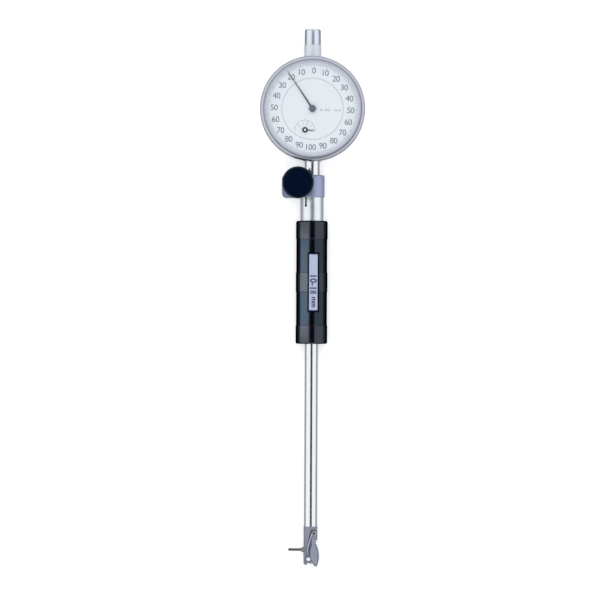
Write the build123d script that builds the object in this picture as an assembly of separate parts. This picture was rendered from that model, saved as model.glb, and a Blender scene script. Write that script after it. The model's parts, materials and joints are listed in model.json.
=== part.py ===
from build123d import *
import math
import os

# Lengths along the gauge, one after the other from the guide's tip to the top of the cap
TIP_BELOW_AXIS = 8.9
HEAD_ABOVE_AXIS = 12.6
TUBE_SHOWING = 97.9
GRIP_LENGTH = 65.9
HOLDER_SHOWING = 12.5
CLAMP_HEIGHT = 12.0
CLAMP_TO_DIAL = 35.2
DIAL_TO_CAP = 34.5
CAP_LENGTH = 8.5

# Fits
RUNNING = 0.04
SIDE_GAP = 0.05
PUSH_GAP = 0.05
TRAVEL = 0.8

# Grip, tube and holder
GRIP_D = 17.0
GRIP_WAIST_D = 16.6
GRIP_END_BAND = 9.9
GRIP_MIDDLE_BAND = 10.6
GRIP_CHAMFER = 0.6
GRIP_FOOT = 9.0
GRIP_CAVITY_D = 11.0
LABEL_TURN = 6.5
LABEL_LENGTH = 30.7
LABEL_WIDTH = 4.9
LABEL_THICK = 0.35
LABEL_FLAT = 7.45
LABEL_MARGIN = 0.7
TUBE_D = 7.0
TUBE_BORE = 4.4
HOLDER_D = 12.4
HOLDER_IN_GRIP = 22.0
HOLDER_SPIGOT = 14.0
COLLET_D = 10.8
SLIT_TURN = -32.0
SLIT_WIDTH = 1.0
SLIT_END_D = 1.4
SLIT_BELOW_CLAMP = 4.4

# Clamp
CLAMP_D = 13.4
CLAMP_CHAMFER = 0.6
EAR_LEFT = 16.1
EAR_THICK = 11.6
EAR_ROUND = 2.2
EAR_SLIT = 1.4
SCREW_X = -7.6
SCREW_ABOVE_MIDDLE = 1.7
SCREW_D = 3.5
SCREW_PAST_EAR = 0.6
KNOB_D = 16.9
KNOB_THICK = 8.0
KNOB_CHAMFER = 0.8
KNOB_HUB_D = 8.0
KNOB_HUB = 1.2
KNOB_SOCKET = 5.0

# Indicator case, heights from the flat back
COVER_THICK = 1.4
COVER_INSET = 0.5
COVER_EDGE = 0.4
CASE_R = 26.0
CASE_WALL = 1.6
CASE_SHOULDER_Z = 13.5
NECK_STEP = 0.8
NECK_WALL = 1.7
PLATE_Z = 14.0
PLATE_THICK = 1.0
LEDGE = 0.6
LEDGE_THICK = 0.7
BOSS_LOW_D = 10.0
BOSS_LOW_SHOWING = 1.6
BOSS_TOP_D = 9.0
LUG_D = 4.2
LUG_FROM_WALL = 1.8
LUG_HEIGHT = 5.0
COVER_SCREW_D = 1.6
COVER_SCREW_HEAD_D = 3.0

# Bezel, crystal and dials
BEZEL_WALL = 2.1
BEZEL_GAP = 0.2
BEZEL_SLOPE = 3.1
BEZEL_ABOVE_CRYSTAL = 0.8
BEZEL_LIP = 0.9
BEZEL_FLAT = 1.2
BEZEL_BEVEL = 0.75
BEZEL_EDGE = 0.5
CRYSTAL_SEAT = 0.4
CRYSTAL_Z = 19.0
CRYSTAL_THICK = 1.6
SCALE_PAST_NECK = 0.3
SCALE_WIDTH = 9.0
DIAL_SPLIT_GAP = 0.2
DIAL_THICK = 0.9
SCALE_LIFT = 0.2
POINTER_SHORT = 1.2
POINTER_ANGLE = 123.8
POINTER_HUB_D = 3.7
POINTER_WIDTH = 0.9
POINTER_TIP_WIDTH = 0.22
POINTER_THICK = 0.25
POINTER_LIFT = 1.7
POINTER_HUB_HEIGHT = 1.1
COUNTER_LENGTH = 5.1
COUNTER_ANGLE = -4.0
COUNTER_HUB_D = 3.0
COUNTER_WIDTH = 0.7
COUNTER_LIFT = 0.5
COUNTER_HUB_HEIGHT = 0.7

# Stem, spindle and cap
STEM_D = 8.0
STEM_BELOW = 48.6
SPINDLE_D = 4.4
SPINDLE_BELOW = 51.6
SPINDLE_ABOVE = 40.0
POINT_D = 3.0
POINT_LENGTH = 6.0
POINT_CHAMFER = 0.9
POINT_SEAT = 2.5
POINT_SEAT_D = 1.6
BUSH_D = 6.4
BUSH_ABOVE = 39.0
CAP_D = 8.5
CAP_WALL = 1.1
CAP_CHAMFER = 0.6
CAP_BORE_D = 5.4

# Gear train
TOOTH_ADD = 0.8
TOOTH_DED = 1.15
TIP_SHARE = 0.1
ROOT_SHARE = 0.28
COUNTER_PLACE_ANGLE = 250.7
WHEEL_ROOM = 1.55
WHEEL_TEETH = 100
CENTRE_TEETH = 10
SECTOR_TEETH = 60
SECTOR_CUT_TEETH = 10
SECTOR_BEFORE_TEETH = 2
COUNTER_PINION_TEETH = 12
SECTOR_MODULE = 0.25
RACK_TEETH = 16
RACK_PITCH = 0.625
RACK_LINE_X = 1.8
RACK_GROOVES = 8
RACK_LOWER_GROOVES = 4
ARBOR_D = 1.2
BRIDGE_Z = 11.0
BRIDGE_THICK = 0.7
BRIDGE_EDGE = 2.0
SECTOR_Z = 12.0
SECTOR_THICK = 0.6
SECTOR_HUB_D = 3.6
WHEEL_Z = 12.8
WHEEL_THICK = 0.4
CENTRE_PINION_THICK = 0.8
RACK_PINION_THICK = 3.0
PILLAR_ANGLES = (133.0, -16.0)
PILLAR_GAP = 1.1
PILLAR_D = 2.4
FAR_PILLAR = (10.0, 5.0)
COCK_Z = 4.8
COCK_THICK = 0.8
COCK_EDGE = 1.8
COCK_REACH = 4.8
COCK_FOOT_D = 2.4

# Return spring and guide pin of the spindle, placed from the dial centre
GUIDE_PIN_Y = 8.0
GUIDE_PIN_D = 1.2
GUIDE_PIN_REACH = 9.8
GUIDE_BLOCK_X = -5.6
GUIDE_BLOCK_WIDTH = 1.6
GUIDE_BLOCK_LENGTH = 7.0
GUIDE_BLOCK_BACK_Z = 6.4
SPRING_X = -8.5
SPRING_POST_Y = -5.5
SPRING_POST_D = 1.4
SPRING_POST_REACH = 3.6
SPRING_COIL_D = 2.6
SPRING_WIRE = 0.45
SPRING_TURNS = 4

# Push rod
ROD_D = 1.8
ROD_END_CHAMFER = 0.5
ROD_COLLAR_D = 3.8
ROD_COLLAR = 1.5
ROD_SPRING_LENGTH = 16.0
ROD_SPRING_D = 3.4
ROD_SPRING_WIRE = 0.5
ROD_SPRING_TURNS = 4
ROD_BUSH_LENGTH = 8.0
PAD_D = 5.0
PAD_THICK = 2.5

# Head, x from the gauge axis and heights from the measuring axis
HEAD_D = 7.4
HEAD_SPIGOT = 6.0
PRONG_BELOW = 8.3
PRONG_CHAMFER = 0.9
SHOULDER = 5.1
BODY_RIGHT = 2.4
BODY_FOOT_RIGHT = 0.6
BODY_FOOT_TOP = -3.0
BODY_HALF = 2.0
PIVOT_X = 1.8
PIVOT_UP = 8.96
PIVOT_D = 1.2
PIVOT_PROUD = 1.7
POCKET_R = 2.0
POCKET_LEFT = -2.4
POCKET_KNEE = 1.0
WINDOW_X = -1.0
WINDOW_UP = -5.2
WINDOW_D = 2.3
NOTCH_X = -0.8
NOTCH_UP = -8.5
NOTCH_D = 2.8
PRONG_RIGHT = -2.2
TOE_UP = -7.6
PLUNGER_D = 2.4
PLUNGER_RIGHT = 3.3
RAMP_SHIFT = 0.7
CONTACT_X = 4.0
CONTACT_D = 1.86
TIP_CHAMFER_SHARE = 0.5
BORE_END = -1.6
ANVIL_D = 1.5
ANVIL_TIP_X = -11.9
ANVIL_SEAT = -2.0
ANVIL_TIP_LENGTH = 1.1
NUT_SEAT_X = -3.5
NUT_LENGTH = 1.4
NUT_D = 3.2
NUT_SMALL_D = 2.0
NUT_FACE = 3.4

# Guide and its spring
LEAF_TOP = (1.7, 4.7)
LEAF_TIP_X = 2.9
LEAF_TIP_WIDTH = 1.2
LEAF_RIGHT_BULGE = 2.2
LEAF_LEFT_BULGE = 2.95
LEAF_BEVEL = 0.6
LEAF_BEVEL_DEPTH = 0.3
EYE_D = 2.6
NECK_RIGHT = 2.9
NECK_LEFT = 0.7
NECK_RIGHT_UP = 3.9
NECK_LEFT_UP = 2.5
LEAF_THICK = 0.8
WEB_LEFT = 2.3
WEB_RIGHT = 3.4
WEB_TOP = -5.2
WEB_BOTTOM = -7.6
WIRE_D = 0.5
WIRE_COIL_D = 1.9
WIRE_GAP = 0.06
WIRE_KNEE = (-1.5, 0.9)
WIRE_END_DROP = 0.5
SPRING_PIN = (-1.95, -1.8)
SPRING_PIN_D = 0.7
SPRING_PIN_SEAT = 1.2

# Places that follow from the sizes above
TOTAL = (TIP_BELOW_AXIS + HEAD_ABOVE_AXIS + TUBE_SHOWING + GRIP_LENGTH + HOLDER_SHOWING
         + CLAMP_HEIGHT + CLAMP_TO_DIAL + DIAL_TO_CAP + CAP_LENGTH)
AXIS_Z = GRIP_D / 2
Y_MEASURE = TIP_BELOW_AXIS - TOTAL / 2
Y_HEAD_TOP = Y_MEASURE + HEAD_ABOVE_AXIS
Y_GRIP_BOTTOM = Y_HEAD_TOP + TUBE_SHOWING
Y_GRIP_TOP = Y_GRIP_BOTTOM + GRIP_LENGTH
Y_CLAMP_BOTTOM = Y_GRIP_TOP + HOLDER_SHOWING
Y_CLAMP_TOP = Y_CLAMP_BOTTOM + CLAMP_HEIGHT
Y_DIAL = Y_CLAMP_TOP + CLAMP_TO_DIAL
Y_BOSS_TOP = Y_DIAL + DIAL_TO_CAP
Y_TOP = Y_BOSS_TOP + CAP_LENGTH
Y_SCREW = (Y_CLAMP_BOTTOM + Y_CLAMP_TOP) / 2 + SCREW_ABOVE_MIDDLE
Y_HOLDER_FOOT = Y_GRIP_TOP - HOLDER_IN_GRIP
Y_TUBE_TOP = Y_HOLDER_FOOT + HOLDER_SPIGOT
Y_STEM_END = Y_DIAL - STEM_BELOW
Y_POINT_END = Y_DIAL - SPINDLE_BELOW - POINT_LENGTH
Y_PAD_TOP = Y_POINT_END - PUSH_GAP
GAUGE_AXIS = Axis((0, 0, AXIS_Z), (0, 1, 0))
COVER_R = CASE_R - COVER_INSET
CASE_BORE_R = CASE_R - CASE_WALL
CASE_NECK_R = CASE_R - NECK_STEP
PLATE_R = CASE_NECK_R - NECK_WALL
LUG_RING_R = CASE_BORE_R - LUG_FROM_WALL
SCALE_R = CASE_NECK_R + SCALE_PAST_NECK
INNER_DIAL_R = SCALE_R - SCALE_WIDTH - DIAL_SPLIT_GAP
CRYSTAL_R = SCALE_R + CRYSTAL_SEAT
BEZEL_R = CRYSTAL_R + BEZEL_WALL
BEZEL_OPENING_R = CRYSTAL_R - BEZEL_LIP
POINTER_LENGTH = BEZEL_OPENING_R - POINTER_SHORT
CRYSTAL_TOP_Z = CRYSTAL_Z + CRYSTAL_THICK
BEZEL_FRONT_Z = CRYSTAL_TOP_Z + BEZEL_ABOVE_CRYSTAL
PLATE_TOP_Z = PLATE_Z + PLATE_THICK
DIAL_TOP_Z = PLATE_TOP_Z + DIAL_THICK
COUNTER_Z = DIAL_TOP_Z + COUNTER_LIFT
POINTER_Z = DIAL_TOP_Z + POINTER_LIFT
WHEEL_MODULE = (CASE_BORE_R - WHEEL_ROOM) / (WHEEL_TEETH + CENTRE_TEETH / 2)
WHEEL_R = WHEEL_MODULE * (WHEEL_TEETH / 2 + TOOTH_ADD)
CENTRE_REACH = WHEEL_MODULE * (WHEEL_TEETH + CENTRE_TEETH) / 2
COUNTER_X = CENTRE_REACH * math.cos(math.radians(COUNTER_PLACE_ANGLE))
COUNTER_Y = CENTRE_REACH * math.sin(math.radians(COUNTER_PLACE_ANGLE))
RACK_MODULE = RACK_PITCH / math.pi
RACK_X = RACK_LINE_X + RACK_MODULE * RACK_TEETH / 2
SECTOR_REACH = SECTOR_MODULE * (SECTOR_TEETH + COUNTER_PINION_TEETH) / 2
RACK_Y = COUNTER_Y + math.sqrt(SECTOR_REACH ** 2 - (RACK_X - COUNTER_X) ** 2)
EAR_FRONT_Z = AXIS_Z + EAR_THICK / 2
KNOB_BACK_Z = EAR_FRONT_Z + SIDE_GAP
CHEEK_BACK = BODY_HALF + SIDE_GAP
CHEEK_FRONT = CHEEK_BACK + LEAF_THICK
PIN_FRONT = BODY_HALF + PIVOT_PROUD


def bar(diameter, y0, y1, x=0.0, z=AXIS_Z):
    """Round bar that lies along the gauge."""
    return Pos(x, (y0 + y1) / 2, z) * Rot(90, 0, 0) * Cylinder(diameter / 2, y1 - y0)


def cross_bar(diameter, x0, x1, y, z=AXIS_Z):
    """Round bar that lies across the gauge."""
    return Pos((x0 + x1) / 2, y, z) * Rot(0, 90, 0) * Cylinder(diameter / 2, x1 - x0)


def post(diameter, z0, z1, x, y):
    """Round upright bar."""
    return Pos(x, y, (z0 + z1) / 2) * Cylinder(diameter / 2, z1 - z0)


def dial_post(diameter, z0, z1, x=0.0, y=0.0):
    """Round upright bar placed from the dial centre."""
    return post(diameter, z0, z1, x, Y_DIAL + y)


def block(x0, x1, y0, y1, z0, z1):
    """Box between two corners."""
    return Pos((x0 + x1) / 2, (y0 + y1) / 2, (z0 + z1) / 2) * Box(x1 - x0, y1 - y0, z1 - z0)


def outline(points):
    """Flat face inside straight lines."""
    return make_face(Polyline(*points, close=True))


def turned(points):
    """Piece turned about the gauge axis from radius and y."""
    return revolve(Pos(0, 0, AXIS_Z) * outline(points), GAUGE_AXIS, 360)


def spun(face):
    """Piece turned about the dial axis from a face of radius and z."""
    plane = Plane(origin=(0, Y_DIAL, 0), x_dir=(1, 0, 0), z_dir=(0, -1, 0))
    return revolve(plane * face, Axis((0, Y_DIAL, 0), (0, 0, 1)), 360)


def raised(face, z0, z1, x=0.0, y=0.0):
    """Flat face lifted into a plate between two heights."""
    return extrude(Pos(x, y, z0) * face, z1 - z0)


def rounded_hull(centres, radius):
    """Face that wraps discs set on the given centres."""
    rims = Sketch() + [Pos(x, y) * Circle(radius) for x, y in centres]
    return make_hull(rims.edges())


def on_circle(radius, degrees):
    """Point on a circle about the dial centre."""
    angle = math.radians(degrees)
    return radius * math.cos(angle), radius * math.sin(angle)


def tooth_points(teeth, module, first, count):
    """Corners of some gear teeth, the first one at the angle first."""
    step = 2 * math.pi / teeth
    low = module * (teeth / 2 - TOOTH_DED)
    high = module * (teeth / 2 + TOOTH_ADD)
    corners = ((low, -ROOT_SHARE), (high, -TIP_SHARE), (high, TIP_SHARE), (low, ROOT_SHARE))
    points = []
    for i in range(count):
        for radius, share in corners:
            angle = first + (i + share) * step
            points.append((radius * math.cos(angle), radius * math.sin(angle)))
    return points


def gear(teeth, module, first, x, y, z0, z1):
    """Toothed wheel about an upright arbor placed from the dial centre."""
    return raised(outline(tooth_points(teeth, module, first, teeth)), z0, z1, x, Y_DIAL + y)


def coil(diameter, wire, y0, y1, turns, x=0.0):
    """Wire spring wound about a line along the gauge."""
    start = Plane(origin=(x, y0 + wire / 2, AXIS_Z), x_dir=(1, 0, 0), z_dir=(0, 1, 0))
    height = y1 - y0 - wire
    path = start * Helix(height / turns, height, (diameter - wire) / 2)
    section = Plane(origin=path @ 0, z_dir=path % 0) * Rectangle(wire, wire)
    return sweep(section, path=path, is_frenet=True)


def case():
    """Cup of the indicator with its bosses and lugs."""
    ring = spun(outline([
        (CASE_BORE_R, COVER_THICK), (CASE_R, COVER_THICK), (CASE_R, CASE_SHOULDER_Z),
        (CASE_NECK_R, CASE_SHOULDER_Z), (CASE_NECK_R, PLATE_TOP_Z), (PLATE_R, PLATE_TOP_Z),
        (PLATE_R, PLATE_Z), (PLATE_R - LEDGE, PLATE_Z), (PLATE_R - LEDGE, PLATE_Z - LEDGE_THICK),
        (CASE_BORE_R, PLATE_Z - LEDGE_THICK)]))
    room = dial_post(2 * CASE_BORE_R, COVER_THICK, PLATE_Z - LEDGE_THICK)
    low_boss = bar(BOSS_LOW_D, Y_DIAL - CASE_R - BOSS_LOW_SHOWING, Y_DIAL - CASE_BORE_R + LEDGE) - room
    top_boss = bar(BOSS_TOP_D, Y_DIAL + CASE_BORE_R - LEDGE, Y_BOSS_TOP) - room
    body = ring + low_boss + top_boss
    for x, y in cover_screw_places():
        lug = dial_post(LUG_D, COVER_THICK, COVER_THICK + LUG_HEIGHT, x, y)
        body += lug - dial_post(COVER_SCREW_D, COVER_THICK, COVER_THICK + LUG_HEIGHT, x, y)
    body -= bar(STEM_D, Y_DIAL - CASE_R - BOSS_LOW_D, Y_DIAL)
    return body - bar(BUSH_D, Y_DIAL, Y_TOP)


def cover_screw_places():
    """Four places of the back cover's screws."""
    return [on_circle(LUG_RING_R, 45 + 90 * i) for i in range(4)]


def sunk_shape(x, y, length):
    """Countersunk head and shank, rising from the flat back."""
    sink = (COVER_SCREW_HEAD_D - COVER_SCREW_D) / 2
    return Pos(x, y, 0) * spun(outline([
        (0, 0), (COVER_SCREW_HEAD_D / 2, 0), (COVER_SCREW_D / 2, sink), (COVER_SCREW_D / 2, length),
        (0, length)]))


def back_cover():
    """Flat back that the gauge lies on."""
    cover = dial_post(2 * COVER_R, 0, COVER_THICK)
    cover = chamfer(cover.faces().sort_by(Axis.Z)[0].edges(), COVER_EDGE)
    for x, y in cover_screw_places():
        cover -= sunk_shape(x, y, COVER_THICK)
    return cover


def back_cover_screws():
    """Screws that hold the back cover."""
    return Part() + [sunk_shape(x, y, COVER_THICK + LUG_HEIGHT) for x, y in cover_screw_places()]


def movement_plate():
    """Plate in front of the gears that carries the inner dial."""
    plate = dial_post(2 * PLATE_R, PLATE_Z, PLATE_TOP_Z)
    hole = ARBOR_D + 2 * RUNNING
    plate -= dial_post(hole, PLATE_Z, PLATE_TOP_Z)
    return plate - dial_post(hole, PLATE_Z, PLATE_TOP_Z, COUNTER_X, COUNTER_Y)


def pillar_places():
    """Places of the pillars, two round the large wheel and one beyond it."""
    places = [FAR_PILLAR]
    for degrees in PILLAR_ANGLES:
        x, y = on_circle(WHEEL_R + PILLAR_GAP + PILLAR_D / 2, degrees)
        places.append((COUNTER_X + x, COUNTER_Y + y))
    return places


def centre_bridge():
    """Bridge between the gears and the spindle."""
    top = BRIDGE_Z + BRIDGE_THICK
    shape = rounded_hull(pillar_places() + [(COUNTER_X, COUNTER_Y)], BRIDGE_EDGE)
    bridge = raised(shape, BRIDGE_Z, top, 0, Y_DIAL)
    for x, y in ((0, 0), (COUNTER_X, COUNTER_Y), (RACK_X, RACK_Y)):
        bridge -= dial_post(ARBOR_D + 2 * RUNNING, BRIDGE_Z, top, x, y)
    return bridge + dial_post(SPRING_POST_D, BRIDGE_Z - SPRING_POST_REACH, BRIDGE_Z, SPRING_X, SPRING_POST_Y)


def bridge_pillars():
    """Pillars between the bridge and the movement plate."""
    low = BRIDGE_Z + BRIDGE_THICK
    return Part() + [dial_post(PILLAR_D, low, PLATE_Z, x, y) for x, y in pillar_places()]


def rear_cock():
    """Bracket that carries the rear end of the rack pinion."""
    foot = (RACK_X + COCK_REACH, RACK_Y)
    shape = rounded_hull([(RACK_X, RACK_Y), foot], COCK_EDGE)
    plate = raised(shape, COCK_Z, COCK_Z + COCK_THICK, 0, Y_DIAL)
    plate -= dial_post(ARBOR_D + 2 * RUNNING, COCK_Z, COCK_Z + COCK_THICK, RACK_X, RACK_Y)
    return plate + dial_post(COCK_FOOT_D, COCK_Z, BRIDGE_Z, *foot)


def rack_pinion():
    """Arbor with the pinion that runs on the spindle's rack."""
    arbor = dial_post(ARBOR_D, COCK_Z, SECTOR_Z + SECTOR_THICK, RACK_X, RACK_Y)
    low = AXIS_Z - RACK_PINION_THICK / 2
    return arbor + gear(RACK_TEETH, RACK_MODULE, math.pi, RACK_X, RACK_Y, low, low + RACK_PINION_THICK)


def sector_gear():
    """Toothed sector on the rack pinion's arbor."""
    step = 2 * math.pi / SECTOR_TEETH
    toward = math.atan2(COUNTER_Y - RACK_Y, COUNTER_X - RACK_X)
    first = toward - SECTOR_BEFORE_TEETH * step
    points = tooth_points(SECTOR_TEETH, SECTOR_MODULE, first, SECTOR_CUT_TEETH) + [(0, 0)]
    top = SECTOR_Z + SECTOR_THICK
    sector = raised(outline(points), SECTOR_Z, top, RACK_X, Y_DIAL + RACK_Y)
    sector += dial_post(SECTOR_HUB_D, SECTOR_Z, top, RACK_X, RACK_Y)
    return sector - dial_post(ARBOR_D, SECTOR_Z, top, RACK_X, RACK_Y)


def counter_pinion():
    """Arbor of the counter pointer with the pinion that the sector drives."""
    arbor = dial_post(ARBOR_D, BRIDGE_Z, COUNTER_Z + COUNTER_HUB_HEIGHT, COUNTER_X, COUNTER_Y)
    toward = math.atan2(RACK_Y - COUNTER_Y, RACK_X - COUNTER_X)
    first = toward + math.pi / COUNTER_PINION_TEETH
    return arbor + gear(COUNTER_PINION_TEETH, SECTOR_MODULE, first, COUNTER_X, COUNTER_Y,
                        SECTOR_Z, SECTOR_Z + SECTOR_THICK)


def counter_wheel():
    """Large wheel on the counter arbor."""
    toward = math.atan2(-COUNTER_Y, -COUNTER_X)
    top = WHEEL_Z + WHEEL_THICK
    wheel = gear(WHEEL_TEETH, WHEEL_MODULE, toward, COUNTER_X, COUNTER_Y, WHEEL_Z, top)
    return wheel - dial_post(ARBOR_D, WHEEL_Z, top, COUNTER_X, COUNTER_Y)


def centre_pinion():
    """Arbor of the main pointer with the last pinion."""
    arbor = dial_post(ARBOR_D, BRIDGE_Z, POINTER_Z + POINTER_HUB_HEIGHT)
    first = math.atan2(COUNTER_Y, COUNTER_X) + math.pi / CENTRE_TEETH
    low = WHEEL_Z + WHEEL_THICK / 2 - CENTRE_PINION_THICK / 2
    return arbor + gear(CENTRE_TEETH, WHEEL_MODULE, first, 0, 0, low, low + CENTRE_PINION_THICK)


def needle(length, width, tip_width, hub_d, hub_height, z, angle, x, y):
    """Flat pointer on a round hub, pressed on its arbor."""
    blade = outline([(0, -width / 2), (length, -tip_width / 2), (length, tip_width / 2), (0, width / 2)])
    needle_part = raised(Rot(0, 0, angle) * blade, z, z + POINTER_THICK, x, Y_DIAL + y)
    needle_part += dial_post(hub_d, z, z + hub_height, x, y)
    return needle_part - dial_post(ARBOR_D, z, z + hub_height, x, y)


def bezel():
    """Rim that turns on the case's neck and carries crystal and scale."""
    low = CASE_SHOULDER_Z + BEZEL_GAP
    neck = CASE_NECK_R + RUNNING
    scale_z = PLATE_TOP_Z + SCALE_LIFT
    return spun(outline([
        (neck, low), (BEZEL_R - BEZEL_EDGE, low), (BEZEL_R, low + BEZEL_EDGE),
        (BEZEL_R, BEZEL_FRONT_Z - BEZEL_SLOPE), (BEZEL_OPENING_R + BEZEL_FLAT, BEZEL_FRONT_Z),
        (BEZEL_OPENING_R + BEZEL_BEVEL, BEZEL_FRONT_Z), (BEZEL_OPENING_R, BEZEL_FRONT_Z - BEZEL_BEVEL),
        (BEZEL_OPENING_R, CRYSTAL_TOP_Z), (CRYSTAL_R, CRYSTAL_TOP_Z), (CRYSTAL_R, CRYSTAL_Z),
        (SCALE_R, CRYSTAL_Z), (SCALE_R, scale_z), (neck, scale_z)]))


def crystal():
    """Clear front."""
    return dial_post(2 * CRYSTAL_R, CRYSTAL_Z, CRYSTAL_TOP_Z)


def scale_ring():
    """Outer dial that turns with the bezel."""
    low = PLATE_TOP_Z + SCALE_LIFT
    return dial_post(2 * SCALE_R, low, DIAL_TOP_Z) - dial_post(2 * (SCALE_R - SCALE_WIDTH), low, DIAL_TOP_Z)


def inner_dial():
    """Fixed middle of the dial."""
    dial = dial_post(2 * INNER_DIAL_R, PLATE_TOP_Z, DIAL_TOP_Z)
    hole = ARBOR_D + 4 * RUNNING
    dial -= dial_post(hole, PLATE_TOP_Z, DIAL_TOP_Z)
    return dial - dial_post(hole, PLATE_TOP_Z, DIAL_TOP_Z, COUNTER_X, COUNTER_Y)


def stem():
    """Tube below the case that the holder grips."""
    y1 = Y_DIAL - CASE_BORE_R + LEDGE
    return bar(STEM_D, Y_STEM_END, y1) - bar(SPINDLE_D + 2 * RUNNING, Y_STEM_END, y1)


def upper_bush():
    """Bearing of the spindle in the top boss."""
    y0 = Y_DIAL + CASE_BORE_R - LEDGE
    y1 = Y_DIAL + BUSH_ABOVE
    return bar(BUSH_D, y0, y1) - bar(SPINDLE_D + 2 * RUNNING, y0, y1)


def spindle_cap():
    """Cap screwed over the upper end of the spindle."""
    cap = bar(CAP_D, Y_BOSS_TOP, Y_TOP)
    cap = chamfer(cap.faces().sort_by(Axis.Y)[-1].edges(), CAP_CHAMFER)
    cap -= bar(BUSH_D, Y_BOSS_TOP, Y_DIAL + BUSH_ABOVE)
    return cap - bar(CAP_BORE_D, Y_DIAL + BUSH_ABOVE, Y_TOP - CAP_WALL)


def spindle():
    """Sliding spindle with its rack, its pin hole and the seat of its point."""
    y0 = Y_DIAL - SPINDLE_BELOW
    body = bar(SPINDLE_D, y0, Y_DIAL + SPINDLE_ABOVE)
    crest = RACK_LINE_X + TOOTH_ADD * RACK_MODULE
    root = RACK_LINE_X - TOOTH_DED * RACK_MODULE
    middle = Y_DIAL + RACK_Y
    low = middle - (RACK_LOWER_GROOVES + 1 / 2) * RACK_PITCH
    high = low + RACK_GROOVES * RACK_PITCH
    body -= block(crest, SPINDLE_D, low, high, AXIS_Z - SPINDLE_D, AXIS_Z + SPINDLE_D)
    wide = (1 / 2 - TIP_SHARE) * RACK_PITCH
    narrow = (1 / 2 - ROOT_SHARE) * RACK_PITCH
    for i in range(RACK_GROOVES):
        y = middle + (i - RACK_LOWER_GROOVES) * RACK_PITCH
        groove = outline([(root, y - narrow), (crest, y - wide), (crest, y + wide), (root, y + narrow)])
        body -= raised(groove, AXIS_Z - SPINDLE_D, AXIS_Z + SPINDLE_D)
    body -= bar(POINT_SEAT_D, y0, y0 + POINT_SEAT)
    return body - cross_bar(GUIDE_PIN_D, -SPINDLE_D, 0, Y_DIAL + GUIDE_PIN_Y)


def contact_point():
    """Point screwed into the spindle, with a bevelled end."""
    y1 = Y_DIAL - SPINDLE_BELOW
    y2 = y1 + POINT_SEAT
    return turned([
        (0, Y_POINT_END), (POINT_D / 2 - POINT_CHAMFER, Y_POINT_END),
        (POINT_D / 2, Y_POINT_END + POINT_CHAMFER), (POINT_D / 2, y1), (POINT_SEAT_D / 2, y1),
        (POINT_SEAT_D / 2, y2), (0, y2)])


def spindle_guide_pin():
    """Pin that keeps the spindle from turning and takes its spring."""
    return cross_bar(GUIDE_PIN_D, -GUIDE_PIN_REACH, 0, Y_DIAL + GUIDE_PIN_Y)


def pin_guide():
    """Slotted block that the guide pin runs in."""
    middle = Y_DIAL + GUIDE_PIN_Y + TRAVEL / 2
    half = GUIDE_BLOCK_LENGTH / 2
    x0 = GUIDE_BLOCK_X - GUIDE_BLOCK_WIDTH / 2
    x1 = GUIDE_BLOCK_X + GUIDE_BLOCK_WIDTH / 2
    body = block(x0, x1, middle - half, middle + half, GUIDE_BLOCK_BACK_Z, PLATE_Z)
    side = GUIDE_PIN_D / 2 + SIDE_GAP
    slot = block(x0, x1, middle - TRAVEL / 2 - 2 * side, middle + TRAVEL / 2 + 2 * side,
                 AXIS_Z - side, AXIS_Z + side)
    return body - slot


def return_spring():
    """Spring that draws the spindle out."""
    y0 = Y_DIAL + SPRING_POST_Y + SPRING_POST_D / 2
    y1 = Y_DIAL + GUIDE_PIN_Y - GUIDE_PIN_D / 2
    return coil(SPRING_COIL_D, SPRING_WIRE, y0, y1, SPRING_TURNS, SPRING_X)


def holder():
    """Slit tube that takes the indicator's stem."""
    collet_y = Y_CLAMP_BOTTOM
    seat_y = Y_STEM_END - SLIT_WIDTH
    body = turned([
        (TUBE_D / 2, Y_HOLDER_FOOT), (HOLDER_D / 2, Y_HOLDER_FOOT), (HOLDER_D / 2, collet_y),
        (COLLET_D / 2, collet_y), (COLLET_D / 2, Y_CLAMP_TOP), (STEM_D / 2, Y_CLAMP_TOP),
        (STEM_D / 2, seat_y), (TUBE_D / 2, seat_y)])
    low = collet_y - SLIT_BELOW_CLAMP
    turn = Pos(0, 0, AXIS_Z) * Rot(0, SLIT_TURN, 0)
    slit = turn * block(-SLIT_WIDTH / 2, SLIT_WIDTH / 2, low, Y_CLAMP_TOP, -HOLDER_D, HOLDER_D)
    end = turn * post(SLIT_END_D, -HOLDER_D, HOLDER_D, 0, low)
    return body - slit - end


def clamp_ring():
    """Ring with two ears that squeezes the slit holder."""
    ring = bar(CLAMP_D, Y_CLAMP_BOTTOM, Y_CLAMP_TOP)
    ring = chamfer(ring.edges().filter_by(GeomType.CIRCLE), CLAMP_CHAMFER)
    ear = block(-EAR_LEFT, 0, Y_CLAMP_BOTTOM, Y_CLAMP_TOP, AXIS_Z - EAR_THICK / 2, AXIS_Z + EAR_THICK / 2)
    ear = fillet(ear.edges().filter_by(Axis.Z).group_by(Axis.X)[0], EAR_ROUND)
    body = ring + ear - bar(COLLET_D, Y_CLAMP_BOTTOM, Y_CLAMP_TOP)
    body -= block(-EAR_LEFT, 0, Y_CLAMP_BOTTOM, Y_CLAMP_TOP, AXIS_Z - EAR_SLIT / 2, AXIS_Z + EAR_SLIT / 2)
    hole = SCREW_D + 2 * RUNNING
    return body - post(hole, AXIS_Z - EAR_THICK, AXIS_Z + EAR_THICK, SCREW_X, Y_SCREW)


def clamp_screw():
    """Screw of the clamp knob."""
    low = AXIS_Z - EAR_THICK / 2 - SCREW_PAST_EAR
    return post(SCREW_D, low, KNOB_BACK_Z + KNOB_SOCKET, SCREW_X, Y_SCREW)


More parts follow.
